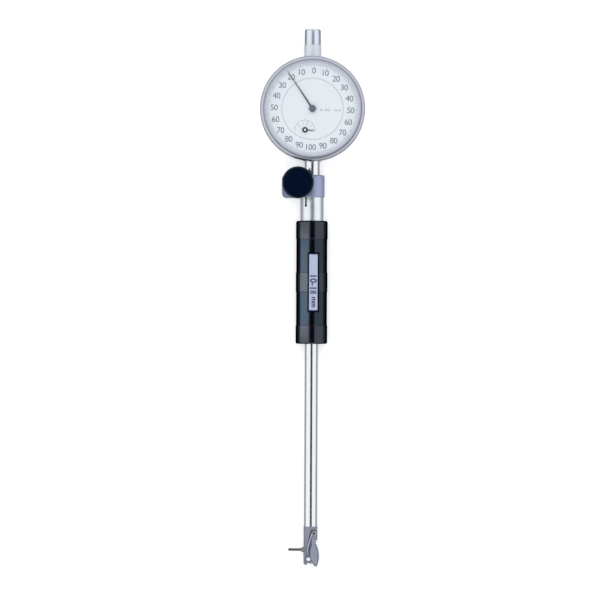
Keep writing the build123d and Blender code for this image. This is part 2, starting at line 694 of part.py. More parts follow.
def clamp_knob():
    """Round knob that draws the clamp shut."""
    back = KNOB_BACK_Z + KNOB_HUB
    knob = post(KNOB_D, back, back + KNOB_THICK, SCREW_X, Y_SCREW)
    knob = chamfer(knob.edges().filter_by(GeomType.CIRCLE), KNOB_CHAMFER)
    knob += post(KNOB_HUB_D, KNOB_BACK_Z, back, SCREW_X, Y_SCREW)
    return knob - post(SCREW_D, KNOB_BACK_Z, KNOB_BACK_Z + KNOB_SOCKET, SCREW_X, Y_SCREW)


def grip():
    """Insulating handle with five bands and a recess for the plate."""
    band = GRIP_D / 2
    waist = GRIP_WAIST_D / 2
    step = band - waist
    middle = (Y_GRIP_BOTTOM + Y_GRIP_TOP) / 2
    low_band = Y_GRIP_BOTTOM + GRIP_END_BAND
    high_band = Y_GRIP_TOP - GRIP_END_BAND
    mid_low = middle - GRIP_MIDDLE_BAND / 2
    mid_high = middle + GRIP_MIDDLE_BAND / 2
    body = turned([
        (TUBE_D / 2, Y_GRIP_BOTTOM), (band - GRIP_CHAMFER, Y_GRIP_BOTTOM),
        (band, Y_GRIP_BOTTOM + GRIP_CHAMFER), (band, low_band - step), (waist, low_band),
        (waist, mid_low), (band, mid_low + step), (band, mid_high - step), (waist, mid_high),
        (waist, high_band), (band, high_band + step),
        (band, Y_GRIP_TOP - GRIP_CHAMFER), (band - GRIP_CHAMFER, Y_GRIP_TOP), (HOLDER_D / 2, Y_GRIP_TOP),
        (HOLDER_D / 2, Y_HOLDER_FOOT), (GRIP_CAVITY_D / 2, Y_HOLDER_FOOT),
        (GRIP_CAVITY_D / 2, Y_GRIP_BOTTOM + GRIP_FOOT), (TUBE_D / 2, Y_GRIP_BOTTOM + GRIP_FOOT)])
    half_x = LABEL_WIDTH / 2 + LABEL_MARGIN
    half_y = LABEL_LENGTH / 2 + LABEL_MARGIN
    recess = block(-half_x, half_x, middle - half_y, middle + half_y, LABEL_FLAT, GRIP_D)
    return body - Pos(0, 0, AXIS_Z) * Rot(0, LABEL_TURN, 0) * recess


def range_plate():
    """Plate with the measuring range."""
    middle = (Y_GRIP_BOTTOM + Y_GRIP_TOP) / 2
    plate = block(-LABEL_WIDTH / 2, LABEL_WIDTH / 2, middle - LABEL_LENGTH / 2, middle + LABEL_LENGTH / 2,
                  LABEL_FLAT, LABEL_FLAT + LABEL_THICK)
    return Pos(0, 0, AXIS_Z) * Rot(0, LABEL_TURN, 0) * plate


def lower_tube():
    """Long tube from the head into the holder."""
    return bar(TUBE_D, Y_HEAD_TOP, Y_TUBE_TOP) - bar(TUBE_BORE, Y_HEAD_TOP, Y_TUBE_TOP)


def rod_bush():
    """Bearing of the push rod in the top of the tube."""
    y0 = Y_TUBE_TOP - ROD_BUSH_LENGTH
    return bar(TUBE_BORE, y0, Y_TUBE_TOP) - bar(ROD_D + 2 * RUNNING, y0, Y_TUBE_TOP)


def rod_collar_top():
    """Height of the collar that the rod spring stands on."""
    return Y_TUBE_TOP - ROD_BUSH_LENGTH - ROD_SPRING_LENGTH


def push_rod():
    """Rod that carries the ramp's lift up to the indicator."""
    radius = ROD_D / 2
    bevel_y = Y_MEASURE + radius + PUSH_GAP * math.sqrt(2) - RAMP_SHIFT
    end_y = bevel_y - ROD_END_CHAMFER
    pad_y = Y_PAD_TOP - PAD_THICK / 2
    rod = turned([
        (0, end_y), (radius - ROD_END_CHAMFER, end_y), (radius, bevel_y), (radius, pad_y), (0, pad_y)])
    return rod + bar(ROD_COLLAR_D, rod_collar_top() - ROD_COLLAR, rod_collar_top())


def rod_pad():
    """Hard pad on the push rod, under the spindle's point."""
    y0 = Y_PAD_TOP - PAD_THICK
    return bar(PAD_D, y0, Y_PAD_TOP) - bar(ROD_D, y0, Y_PAD_TOP - PAD_THICK / 2)


def rod_spring():
    """Spring that keeps the push rod down on the ramp."""
    y0 = rod_collar_top()
    return coil(ROD_SPRING_D, ROD_SPRING_WIRE, y0, y0 + ROD_SPRING_LENGTH, ROD_SPRING_TURNS)


def head_points(points):
    """Points of the head moved to the measuring axis."""
    return [(x, Y_MEASURE + up) for x, up in points]


def head_post(diameter, z0, z1, x, up):
    """Upright round bar at a place of the head, heights from the gauge axis."""
    return post(diameter, AXIS_Z + z0, AXIS_Z + z1, x, Y_MEASURE + up)


def head_body():
    """Head with its pocket, window, arched foot and bores."""
    bottom = Y_MEASURE - PRONG_BELOW
    body = bar(HEAD_D, bottom, Y_HEAD_TOP)
    body = chamfer(body.faces().sort_by(Axis.Y)[0].edges(), PRONG_CHAMFER)
    body += bar(TUBE_BORE, Y_HEAD_TOP, Y_HEAD_TOP + HEAD_SPIGOT)
    back = AXIS_Z - HEAD_D
    front = AXIS_Z + HEAD_D
    body -= block(BODY_RIGHT, HEAD_D, bottom, Y_MEASURE + SHOULDER, back, front)
    body -= block(BODY_FOOT_RIGHT, HEAD_D, bottom, Y_MEASURE + BODY_FOOT_TOP, back, front)
    pocket = outline(head_points([
        (HEAD_D, PIVOT_UP + POCKET_R), (PIVOT_X, PIVOT_UP + POCKET_R), (PIVOT_X - POCKET_R, PIVOT_UP),
        (POCKET_LEFT, POCKET_KNEE), (POCKET_LEFT, -HEAD_D - PRONG_BELOW), (HEAD_D, -HEAD_D - PRONG_BELOW)]))
    pocket += Pos(PIVOT_X, Y_MEASURE + PIVOT_UP) * Circle(POCKET_R)
    body -= raised(pocket, AXIS_Z + BODY_HALF, front)
    body -= raised(pocket, back, AXIS_Z - BODY_HALF)
    body -= head_post(WINDOW_D, -HEAD_D, HEAD_D, WINDOW_X, WINDOW_UP)
    body -= head_post(NOTCH_D, -HEAD_D, HEAD_D, NOTCH_X, NOTCH_UP)
    body -= block(PRONG_RIGHT, HEAD_D, bottom, Y_MEASURE + TOE_UP, back, front)
    body -= cross_bar(PLUNGER_D + 2 * RUNNING, BORE_END, HEAD_D, Y_MEASURE)
    body -= bar(ROD_D + 2 * RUNNING, Y_MEASURE, Y_HEAD_TOP + HEAD_SPIGOT)
    body -= cross_bar(ANVIL_D, -HEAD_D, ANVIL_SEAT, Y_MEASURE)
    body -= block(-HEAD_D, NUT_SEAT_X, Y_MEASURE - NUT_FACE / 2, Y_MEASURE + NUT_FACE / 2, back, front)
    body -= head_post(PIVOT_D, -HEAD_D, HEAD_D, PIVOT_X, PIVOT_UP)
    return body - head_post(SPRING_PIN_D, BODY_HALF - SPRING_PIN_SEAT, HEAD_D, *SPRING_PIN)


def contact_plunger():
    """Sliding contact with the ramp that lifts the push rod."""
    half = PLUNGER_D / 2
    left = RAMP_SHIFT - half
    body = cross_bar(PLUNGER_D, left, PLUNGER_RIGHT, Y_MEASURE)
    ramp = outline(head_points([
        (left - PLUNGER_D, -half - PLUNGER_D), (left + 2 * PLUNGER_D, 2 * PLUNGER_D - half),
        (left - PLUNGER_D, 2 * PLUNGER_D - half)]))
    return body - raised(ramp, AXIS_Z - half, AXIS_Z + half)


def round_tip(diameter, x, seat_x):
    """Hard tip with a bevelled end on the measuring axis, from its seat to x."""
    tip = cross_bar(diameter, min(x, seat_x), max(x, seat_x), Y_MEASURE)
    ends = tip.faces().sort_by(Axis.X)
    end = ends[-1] if x > seat_x else ends[0]
    return chamfer(end.edges(), TIP_CHAMFER_SHARE * min(diameter / 2, abs(x - seat_x)))


def anvil():
    """Threaded anvil on the left of the head."""
    return cross_bar(ANVIL_D, ANVIL_TIP_X + ANVIL_TIP_LENGTH, ANVIL_SEAT, Y_MEASURE)


def anvil_nut():
    """Conical nut that locks the anvil."""
    x1 = NUT_SEAT_X - NUT_LENGTH
    rim = outline(head_points([(NUT_SEAT_X, 0), (NUT_SEAT_X, NUT_D / 2), (x1, NUT_SMALL_D / 2), (x1, 0)]))
    cone = revolve(Pos(0, 0, AXIS_Z) * rim, Axis((0, Y_MEASURE, AXIS_Z), (1, 0, 0)), 360)
    return cone - cross_bar(ANVIL_D, x1, NUT_SEAT_X, Y_MEASURE)


def leaf():
    """Leaf in front of the head: unlike arcs to a blunt tip, with a flat bevel round its face."""
    half = LEAF_TIP_WIDTH / 2
    corner_up = half / 2 - TIP_BELOW_AXIS
    mid_up = (LEAF_TOP[1] + corner_up) / 2
    mid_x = (LEAF_TOP[0] + LEAF_TIP_X) / 2
    top, left, left_low, tip, right_low, right = head_points([
        LEAF_TOP, (mid_x - LEAF_LEFT_BULGE, mid_up), (LEAF_TIP_X - half, corner_up),
        (LEAF_TIP_X, -TIP_BELOW_AXIS), (LEAF_TIP_X + half, corner_up), (mid_x + LEAF_RIGHT_BULGE, mid_up)])
    rim = ThreePointArc(top, left, left_low) + ThreePointArc(left_low, tip, right_low)
    face = make_face(rim + ThreePointArc(right_low, right, top))
    bevel_z = AXIS_Z + CHEEK_FRONT - LEAF_BEVEL_DEPTH
    slope = math.degrees(math.atan2(LEAF_BEVEL, LEAF_BEVEL_DEPTH))
    slab = raised(face, AXIS_Z + CHEEK_BACK, bevel_z)
    return slab + extrude(Pos(0, 0, bevel_z) * face, LEAF_BEVEL_DEPTH, taper=slope)


def guide():
    """Two leaves on one pivot, joined by a web below the contact."""
    neck = outline(head_points([
        (PIVOT_X - EYE_D / 2, PIVOT_UP), (PIVOT_X + EYE_D / 2, PIVOT_UP),
        (NECK_RIGHT, NECK_RIGHT_UP), (NECK_LEFT, NECK_LEFT_UP)]))
    neck += Pos(PIVOT_X, Y_MEASURE + PIVOT_UP) * Circle(EYE_D / 2)
    neck -= Pos(PIVOT_X, Y_MEASURE + PIVOT_UP) * Circle(PIVOT_D / 2 + RUNNING)
    front = raised(neck, AXIS_Z + CHEEK_BACK, AXIS_Z + CHEEK_FRONT) + leaf()
    back = mirror(front, about=Plane(origin=(0, 0, AXIS_Z)))
    return front + back + block(WEB_LEFT, WEB_RIGHT, Y_MEASURE + WEB_BOTTOM, Y_MEASURE + WEB_TOP,
                                AXIS_Z - CHEEK_BACK, AXIS_Z + CHEEK_BACK)


def guide_pin():
    """Pivot of the guide."""
    return head_post(PIVOT_D, -CHEEK_FRONT, PIN_FRONT, PIVOT_X, PIVOT_UP)


def guide_spring():
    """Wire spring wound round the pivot with one leg against its pin."""
    low = AXIS_Z + CHEEK_FRONT + WIRE_GAP
    radius = WIRE_COIL_D / 2
    leg_x = SPRING_PIN[0] + SPRING_PIN_D / 2 + WIRE_D / 2 + WIRE_GAP
    points = head_points([(PIVOT_X - radius, PIVOT_UP), WIRE_KNEE, (leg_x, SPRING_PIN[1] - WIRE_END_DROP)])
    wire = trace(Polyline(*points), WIRE_D)
    wire += Pos(PIVOT_X, Y_MEASURE + PIVOT_UP) * Circle(radius + WIRE_D / 2)
    wire -= Pos(PIVOT_X, Y_MEASURE + PIVOT_UP) * Circle(radius - WIRE_D / 2)
    return raised(wire, low, low + WIRE_D)


def spring_pin():
    """Pin that holds the leg of the guide spring."""
    return head_post(SPRING_PIN_D, BODY_HALF - SPRING_PIN_SEAT, PIN_FRONT, *SPRING_PIN)


def main():
    """Build every piece and write it under its own name."""
    pieces = {
        "indicator_case": case(),
        "back_cover": back_cover(),
        "back_cover_screws": back_cover_screws(),
        "movement_plate": movement_plate(),
        "centre_bridge": centre_bridge(),
        "bridge_pillars": bridge_pillars(),
        "rear_cock": rear_cock(),
        "rack_pinion": rack_pinion(),
        "sector_gear": sector_gear(),
        "counter_pinion": counter_pinion(),
        "counter_wheel": counter_wheel(),
        "counter_pointer": needle(COUNTER_LENGTH, COUNTER_WIDTH, POINTER_TIP_WIDTH, COUNTER_HUB_D,
                                  COUNTER_HUB_HEIGHT, COUNTER_Z, COUNTER_ANGLE, COUNTER_X, COUNTER_Y),
        "centre_pinion": centre_pinion(),
        "main_pointer": needle(POINTER_LENGTH, POINTER_WIDTH, POINTER_TIP_WIDTH, POINTER_HUB_D,
                               POINTER_HUB_HEIGHT, POINTER_Z, POINTER_ANGLE, 0, 0),
        "bezel": bezel(),
        "crystal": crystal(),
        "scale_ring": scale_ring(),
        "inner_dial": inner_dial(),
        "stem": stem(),
        "upper_bush": upper_bush(),
        "spindle_cap": spindle_cap(),
        "spindle": spindle(),
        "contact_point": contact_point(),
        "spindle_guide_pin": spindle_guide_pin(),
        "pin_guide": pin_guide(),
        "return_spring": return_spring(),
        "holder": holder(),
        "clamp_ring": clamp_ring(),
        "clamp_screw": clamp_screw(),
        "clamp_knob": clamp_knob(),
        "grip": grip(),
        "range_plate": range_plate(),
        "lower_tube": lower_tube(),
        "rod_bush": rod_bush(),
        "push_rod": push_rod(),
        "rod_pad": rod_pad(),
        "rod_spring": rod_spring(),
        "head_body": head_body(),
        "contact_plunger": contact_plunger(),
        "contact_tip": round_tip(CONTACT_D, CONTACT_X, PLUNGER_RIGHT),
        "anvil": anvil(),
        "anvil_tip": round_tip(ANVIL_D, ANVIL_TIP_X, ANVIL_TIP_X + ANVIL_TIP_LENGTH),
        "anvil_nut": anvil_nut(),
        "guide": guide(),
        "guide_pin": guide_pin(),
        "guide_spring": guide_spring(),
        "spring_pin": spring_pin(),
    }
    os.makedirs("parts", exist_ok=True)
    for name, piece in pieces.items():
        export_step(piece, "parts/" + name + ".step")


main()
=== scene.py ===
import json
import math
import bmesh
import bpy
from mathutils import Matrix, Vector


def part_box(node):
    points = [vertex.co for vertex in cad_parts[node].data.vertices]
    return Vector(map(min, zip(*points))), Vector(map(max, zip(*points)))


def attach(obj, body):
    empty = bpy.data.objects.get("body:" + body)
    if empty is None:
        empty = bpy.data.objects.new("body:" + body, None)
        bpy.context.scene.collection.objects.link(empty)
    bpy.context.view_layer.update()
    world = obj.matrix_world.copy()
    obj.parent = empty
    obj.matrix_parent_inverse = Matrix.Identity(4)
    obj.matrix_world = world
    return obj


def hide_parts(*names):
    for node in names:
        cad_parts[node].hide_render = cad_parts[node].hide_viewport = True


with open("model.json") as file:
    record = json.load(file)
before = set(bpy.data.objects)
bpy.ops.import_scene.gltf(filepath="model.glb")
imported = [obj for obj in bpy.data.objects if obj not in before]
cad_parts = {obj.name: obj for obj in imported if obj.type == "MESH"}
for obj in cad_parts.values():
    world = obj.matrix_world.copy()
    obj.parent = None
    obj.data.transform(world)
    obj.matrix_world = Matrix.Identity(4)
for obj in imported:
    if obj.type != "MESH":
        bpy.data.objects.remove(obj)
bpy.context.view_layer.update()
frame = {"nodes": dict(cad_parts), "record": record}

# Lengths are in millimetres and angles in degrees, except in the studio
MM = 0.001
UP = (0, 0, 1)

# Camera: height above the gauge axis, image width there, point under it and roll
CAMERA_HEIGHT = 1500.0
IMAGE_WIDTH = 322.1
CAMERA_X = -6.2
CAMERA_Y = -1.15
CAMERA_ROLL = 0.27
SENSOR = 36.0

# Fineness of the meshes
SEGMENTS = 160
SCREW_SEGMENTS = 48
ROUND_STEPS = 10
ARC_STEPS = 64
JOIN_REACH = 0.001
SHARP_ANGLE = 28.0

# Ink: lift above its face and thickness
PRINT_LIFT = 0.02
PRINT_THICK = 0.02

# Dial print, radii from the dial centre
SCALE_TURN = -2.0
DIVISIONS = 200
TICK_OUTER = 24.2
TICK_SHORT = 1.2
TICK_FIVE = 1.5
TICK_TEN = 1.75
TICK_WIDTH = 0.11
TICK_WIDE = 0.17
NUMBER_RADIUS = 20.45
NUMBER_HEIGHT = 3.05
NUMBER_SPACING = 0.92
NUMBER_STEP = 10
SIDE_NUMBERS = 10
UNIT_TEXT = "0.001 mm"
UNIT_X = 9.6
UNIT_Y = -0.6
UNIT_HEIGHT = 1.3
UNIT_SPACING = 1.5

# Counter dial, from the counter's arbor
COUNTER_RADIUS = 5.3
COUNTER_LINE = 0.12
COUNTER_STEP = 36.0
COUNTER_MARKS = 6
COUNTER_TICK = 0.7
COUNTER_NUMBER_RADIUS = 3.7
COUNTER_NUMBER_HEIGHT = 0.95

# Plate print, places down the plate, and height and place across it of the two rings of the 8
RANGE_TEXT = "10-1"
RANGE_HEIGHT = 3.4
RANGE_DOWN = -0.1
RANGE_STROKE = 0.115
EIGHT_DOWN = 5.3
EIGHT_RINGS = ((1.68, 0.86), (1.88, -0.76))
EIGHT_STEP = 0.004
RANGE_UNIT = "mm"
RANGE_UNIT_HEIGHT = 1.7
RANGE_UNIT_DOWN = 10.6
FRAME_SIDE = 0.22
FRAME_END = 0.5

# Thread of the anvil
THREAD_PITCH = 0.7
THREAD_DEPTH = 0.26
THREAD_PROUD = 0.09
THREAD_STEPS = 24

# Bezel, inwards from its largest radius and down from its front
BEZEL_NECK = 0.26
BEZEL_LIP = 0.9
BEZEL_BEVEL = 0.75
BEZEL_SHOULDER = 1.85
BEZEL_ROUND = 0.5
BEZEL_CREST = 0.18

# Clamp knob, its neck and its edges
KNOB_NECK_R = 4.0
KNOB_NECK = 1.2
KNOB_NECK_ROUND = 0.2
KNOB_LOW_ROUND = 1.0
KNOB_TOP_ROUND = 1.1

# Cap of the spindle
CAP_ROUND = 0.7
CAP_FOOT_ROUND = CAP_ROUND / 3
CAP_WALL = 1.1
CAP_BORE = 2.7

# Wire of the guide spring, its knee from the measuring axis
WIRE_D = 0.7
WIRE_COIL_D = 1.9
WIRE_GAP = 0.06
WIRE_KNEE = (-1.5, 0.9)
WIRE_END_DROP = 0.5
WIRE_SIDES = 16
WIRE_STEPS = 24

# Caps on the hubs of the pointers
HUB_D = 3.7
COUNTER_CAP_D = 1.2
HUB_CAP_INSET = 0.15
HUB_CAP_HEIGHT = 0.14
HUB_CAP_ROUND = 0.1

# Screws of the back cover
SCREW_HEAD_D = 3.0
SCREW_D = 1.6
SLOT_WIDTH = 0.45
SLOT_DEPTH = 0.4
SLOT_TURNS = (20.0, 75.0, 140.0, 48.0)

# Noise of the materials: detail, share of its range in use, and its stretch along the axes
NOISE_DETAIL = 3.0
NOISE_LOW = 0.3
NOISE_HIGH = 0.7
EVEN = (1, 1, 1)
ALONG = (1, 0.02, 1)
ACROSS = (0.05, 1, 1)
GROUND = (1, 0.3, 1)
PLATE_GRAIN = (1, 0.05, 1)

# Rings of a facing tool
TURNED_SCALE = 420.0
TURNED_WOBBLE = 0.6
TURNED_DEPTH = 0.012

# Crystal: where its rim starts, and its gloss in the middle and at the rim
CRYSTAL_RIM = 0.4
CRYSTAL_GLOSS = (0.02, 0.35)
CRYSTAL_ROUGHNESS = (0.01, 0.03)
CRYSTAL_NOISE = 400.0

# Leaf: how level a face is where the painted shade of its bevels and flanks starts and where it is full
FLANK_SHADE_START = 0.98
FLANK_SHADE_FULL = 0.9
LEAF_SPREAD = 0.1

# Gloss of the clamp knob
KNOB_SPECULAR = 0.2

# Bands of the grip, from its ends and about its middle
GRIP_END_BAND = 9.9
GRIP_MIDDLE_BAND = 10.6
GRIP_SPREAD = 0.12

# Painted shade in the bore and slit, as shares of the outer radius
BORE_SHADE_START = 0.93
BORE_SHADE_END = 0.97
BORE_SHADE_COLOUR = (0.012, 0.013, 0.017)
BORE_SHADE_SPREAD = 0.2

# Tint of dark surfaces seen edge on
DARK_EDGE = (0.02, 0.02, 0.02)
CAP_EDGE = (0.2, 0.2, 0.18)

# Solids whose finish differs from their slot
NODE_FINISH = {
    "indicator_case": "case_steel",
    "back_cover": "turned_steel",
    "holder": "holder_steel",
    "guide": "leaf_steel",
    "guide_pin": "pin_steel",
    "spring_pin": "pin_steel",
    "movement_plate": "plate_steel",
}

# Studio, in metres and watts
FLOOR_SIZE = 4.0
FLOOR_DROP = 0.0001
FLOOR_COLOUR = (0.8, 0.8, 0.8)
FLOOR_ROUGHNESS = 0.9
FLOOR_GLOW = 0.46
WORLD_LIGHT = 0.5
WORLD_GLOW = 1.0
TOP_PLACE = (-0.03, 0.05, 0.9)
TOP_SIZE = (0.9, 0.9)
TOP_WATTS = 4.9
TOP_COLOUR = (0.97, 0.985, 1.0)
GRIP_LAMP_X = -0.19
GRIP_LAMP_Z = 0.13
GRIP_LAMP_SIZE = (0.064, 0.31)
GRIP_LAMP_WATTS = 0.115
STRIP_HEIGHT = 0.8
STRIP_WIDTH = 0.52
STRIP_X = 0.06
STRIP_START = -1.5
STRIP_END = 0.35
STRIP_COLOUR = (0.086, 0.096, 0.125)
CARD_NEAR = 0.0
CARD_FAR = 0.26
CARD_LENGTH = 0.6
CARD_LIFT = 0.0002
CARD_COLOUR = (0.38, 0.38, 0.4)


def middle(node):
    """Centre of a node's box."""
    low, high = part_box(node)
    return (low + high) / 2


def new_material(name):
    """New material that is made of nodes."""
    material = bpy.data.materials.new(name)
    material.use_nodes = True
    return material


def nodes_of(material):
    """Node tree and shader of a material."""
    tree = material.node_tree
    return tree, tree.nodes["Principled BSDF"]


def noise(tree, scale, stretch):
    """Noise in the object's own space, stretched along the axes."""
    place = tree.nodes.new("ShaderNodeTexCoord")
    mapping = tree.nodes.new("ShaderNodeMapping")
    mapping.inputs["Scale"].default_value = stretch
    texture = tree.nodes.new("ShaderNodeTexNoise")
    texture.inputs["Scale"].default_value = scale
    texture.inputs["Detail"].default_value = NOISE_DETAIL
    tree.links.new(place.outputs["Object"], mapping.inputs["Vector"])
    tree.links.new(mapping.outputs["Vector"], texture.inputs["Vector"])
    return texture


def spread_colour(tree, texture, colour, spread):
    """Colour that varies a little with a texture."""
    ramp = tree.nodes.new("ShaderNodeValToRGB")
    dark, light = ramp.color_ramp.elements
    dark.position = NOISE_LOW
    light.position = NOISE_HIGH
    dark.color = [c * (1 - spread) for c in colour] + [1]
    light.color = [min(1, c * (1 + spread)) for c in colour] + [1]
    tree.links.new(texture.outputs[0], ramp.inputs["Fac"])
    return ramp.outputs["Color"]


def second_colour(tree, shader, colour, spread, amount):
    """Second varying colour, blended over the first by an amount from none to one."""
    first = shader.inputs["Base Color"].links[0].from_socket
    texture = first.node.inputs["Fac"].links[0].from_node
    blend = tree.nodes.new("ShaderNodeMix")
    blend.data_type = "RGBA"
    tree.links.new(amount, blend.inputs[0])
    tree.links.new(first, blend.inputs[6])
    tree.links.new(spread_colour(tree, texture, colour, spread), blend.inputs[7])
    tree.links.new(blend.outputs[2], shader.inputs["Base Color"])


def spread_value(tree, texture, low, high, socket):
    """Value between two limits that follows a texture."""
    ranged = tree.nodes.new("ShaderNodeMapRange")
    ranged.inputs["From Min"].default_value = NOISE_LOW
    ranged.inputs["From Max"].default_value = NOISE_HIGH
    ranged.inputs["To Min"].default_value = low
    ranged.inputs["To Max"].default_value = high
    tree.links.new(texture.outputs[0], ranged.inputs["Value"])
    tree.links.new(ranged.outputs["Result"], socket)


def bump(tree, shader, texture, depth):
    """Fine relief from a texture, its depth in millimetres."""
    node = tree.nodes.new("ShaderNodeBump")
    node.inputs["Strength"].default_value = 1.0
    node.inputs["Distance"].default_value = depth * MM
    tree.links.new(texture.outputs[0], node.inputs["Height"])
    tree.links.new(node.outputs["Normal"], shader.inputs["Normal"])


def surface(name, colour, roughness, spread=0.06, rough_spread=0.05, metallic=0.0, scale=2500.0,
            stretch=EVEN, depth=0.0, edge=None):
    """Material whose colour, gloss and relief vary with one noise."""
    material = new_material(name)
    tree, shader = nodes_of(material)
    shader.inputs["Metallic"].default_value = metallic
    if edge:
        shader.inputs["Specular Tint"].default_value = (*edge, 1)
    texture = noise(tree, scale, stretch)
    tree.links.new(spread_colour(tree, texture, colour, spread), shader.inputs["Base Color"])
    low = roughness - rough_spread
    high = roughness + rough_spread
    spread_value(tree, texture, low, high, shader.inputs["Roughness"])
    if depth:
        bump(tree, shader, texture, depth)
    return material


def metal(name, colour, roughness, **options):
    """Bare metal."""
    return surface(name, colour, roughness, metallic=1.0, **options)


def clear_material(name):
    """Clear plastic that lets the light through to the dial."""
    material = new_material(name)
    tree, shader = nodes_of(material)
    tree.nodes.remove(shader)
    output = tree.nodes["Material Output"]
    clear = tree.nodes.new("ShaderNodeBsdfTransparent")
    gloss = tree.nodes.new("ShaderNodeBsdfGlossy")
    rim = tree.nodes.new("ShaderNodeLayerWeight")
    ranged = tree.nodes.new("ShaderNodeMapRange")
    mix = tree.nodes.new("ShaderNodeMixShader")
    ranged.inputs["From Min"].default_value = CRYSTAL_RIM
    ranged.inputs["To Min"].default_value = CRYSTAL_GLOSS[0]
    ranged.inputs["To Max"].default_value = CRYSTAL_GLOSS[1]
    texture = noise(tree, CRYSTAL_NOISE, EVEN)
    spread_value(tree, texture, *CRYSTAL_ROUGHNESS, gloss.inputs["Roughness"])
    tree.links.new(rim.outputs["Facing"], ranged.inputs["Value"])
    tree.links.new(ranged.outputs["Result"], mix.inputs["Fac"])
    tree.links.new(clear.outputs["BSDF"], mix.inputs[1])
    tree.links.new(gloss.outputs["BSDF"], mix.inputs[2])
    tree.links.new(mix.outputs["Shader"], output.inputs["Surface"])
    return material


def grip_material(name, band, waist):
    """Black finish of the grip, a little darker and greener on its two waists."""
    material = metal(name, band, 0.15, spread=GRIP_SPREAD, rough_spread=0.03, depth=0.003, edge=DARK_EDGE)
    tree, shader = nodes_of(material)
    low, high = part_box("grip")
    length = high.y - low.y
    half = GRIP_MIDDLE_BAND * MM / 2 / length
    end = GRIP_END_BAND * MM / length
    place = tree.nodes.new("ShaderNodeTexCoord")
    axes = tree.nodes.new("ShaderNodeSeparateXYZ")
    along = tree.nodes.new("ShaderNodeMapRange")
    zones = tree.nodes.new("ShaderNodeValToRGB")
    along.inputs["From Min"].default_value = low.y
    along.inputs["From Max"].default_value = high.y
    zones.color_ramp.interpolation = "CONSTANT"
    zones.color_ramp.elements[0].color = (0, 0, 0, 1)
    zones.color_ramp.elements[1].position = end
    zones.color_ramp.elements[1].color = (1, 1, 1, 1)
    for position, level in ((0.5 - half, 0), (0.5 + half, 1), (1 - end, 0)):
        zones.color_ramp.elements.new(position).color = (level, level, level, 1)
    tree.links.new(place.outputs["Object"], axes.inputs["Vector"])
    tree.links.new(axes.outputs["Y"], along.inputs["Value"])
    tree.links.new(along.outputs["Result"], zones.inputs["Fac"])
    second_colour(tree, shader, waist, GRIP_SPREAD, zones.outputs["Color"])
    return material


def ground_material(name, face, flank_shade):
    """Ground flat metal with painted shade on its bevels and flanks, which are darker than its faces."""
    material = metal(name, face, 0.66, spread=LEAF_SPREAD, scale=900.0, stretch=GROUND, depth=0.004)
    tree, shader = nodes_of(material)
    place = tree.nodes.new("ShaderNodeTexCoord")
    axes = tree.nodes.new("ShaderNodeSeparateXYZ")
    steep = tree.nodes.new("ShaderNodeMath")
    tilted = tree.nodes.new("ShaderNodeMapRange")
    steep.operation = "ABSOLUTE"
    tilted.inputs["From Min"].default_value = FLANK_SHADE_START
    tilted.inputs["From Max"].default_value = FLANK_SHADE_FULL
    tree.links.new(place.outputs["Normal"], axes.inputs["Vector"])
    tree.links.new(axes.outputs["Z"], steep.inputs[0])
    tree.links.new(steep.outputs["Value"], tilted.inputs["Value"])
    # painted shade: faces tilted away from level are darker, by their normal
    second_colour(tree, shader, flank_shade, LEAF_SPREAD, tilted.outputs["Result"])
    return material


def knob_material(name, colour):
    """Smooth black plastic with little gloss."""
    material = surface(name, colour, 0.16, spread=0.2, rough_spread=0.03, scale=900.0)
    shader = nodes_of(material)[1]
    shader.inputs["Specular IOR Level"].default_value = KNOB_SPECULAR
    return material


def bored_material(name, colour, roughness, node):
    """Bright metal outside, with painted shade darkening its bore and slit."""
    material = metal(name, colour, roughness, spread=0.03, rough_spread=0.04, scale=5000.0,
                     stretch=ACROSS, depth=0.002)
    tree, shader = nodes_of(material)
    low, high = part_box(node)
    radius = (high.x - low.x) / 2
    place = tree.nodes.new("ShaderNodeTexCoord")
    centred = tree.nodes.new("ShaderNodeMapping")
    reach = tree.nodes.new("ShaderNodeVectorMath")
    inside = tree.nodes.new("ShaderNodeMapRange")
    reach.operation = "LENGTH"
    centred.inputs["Location"].default_value = (0, 0, -(low.z + high.z) / 2)
    centred.inputs["Scale"].default_value = (1, 0, 1)
    inside.inputs["From Min"].default_value = BORE_SHADE_END * radius
    inside.inputs["From Max"].default_value = BORE_SHADE_START * radius
    tree.links.new(place.outputs["Object"], centred.inputs["Vector"])
    tree.links.new(centred.outputs["Vector"], reach.inputs[0])
    tree.links.new(reach.outputs["Value"], inside.inputs["Value"])
    # painted shade: near-black colour on the walls of the bore and slit, inside the outer radius
    second_colour(tree, shader, BORE_SHADE_COLOUR, BORE_SHADE_SPREAD, inside.outputs["Result"])
    return material


def turned_material(name, colour, roughness, node):
    """Metal with the fine rings of a facing tool about a node's centre."""
    material = metal(name, colour, roughness, spread=0.04, scale=6000.0)
    tree, shader = nodes_of(material)
    centre = middle(node)
    place = tree.nodes.new("ShaderNodeTexCoord")
    centred = tree.nodes.new("ShaderNodeMapping")
    rings = tree.nodes.new("ShaderNodeTexWave")
    centred.inputs["Location"].default_value = (-centre.x, -centre.y, 0)
    centred.inputs["Scale"].default_value = (1, 1, 0)
    rings.wave_type = "RINGS"
    rings.rings_direction = "SPHERICAL"
    rings.inputs["Scale"].default_value = TURNED_SCALE
    rings.inputs["Distortion"].default_value = TURNED_WOBBLE
    tree.links.new(place.outputs["Object"], centred.inputs["Vector"])
    tree.links.new(centred.outputs["Vector"], rings.inputs["Vector"])
    bump(tree, shader, rings, TURNED_DEPTH)
    return material


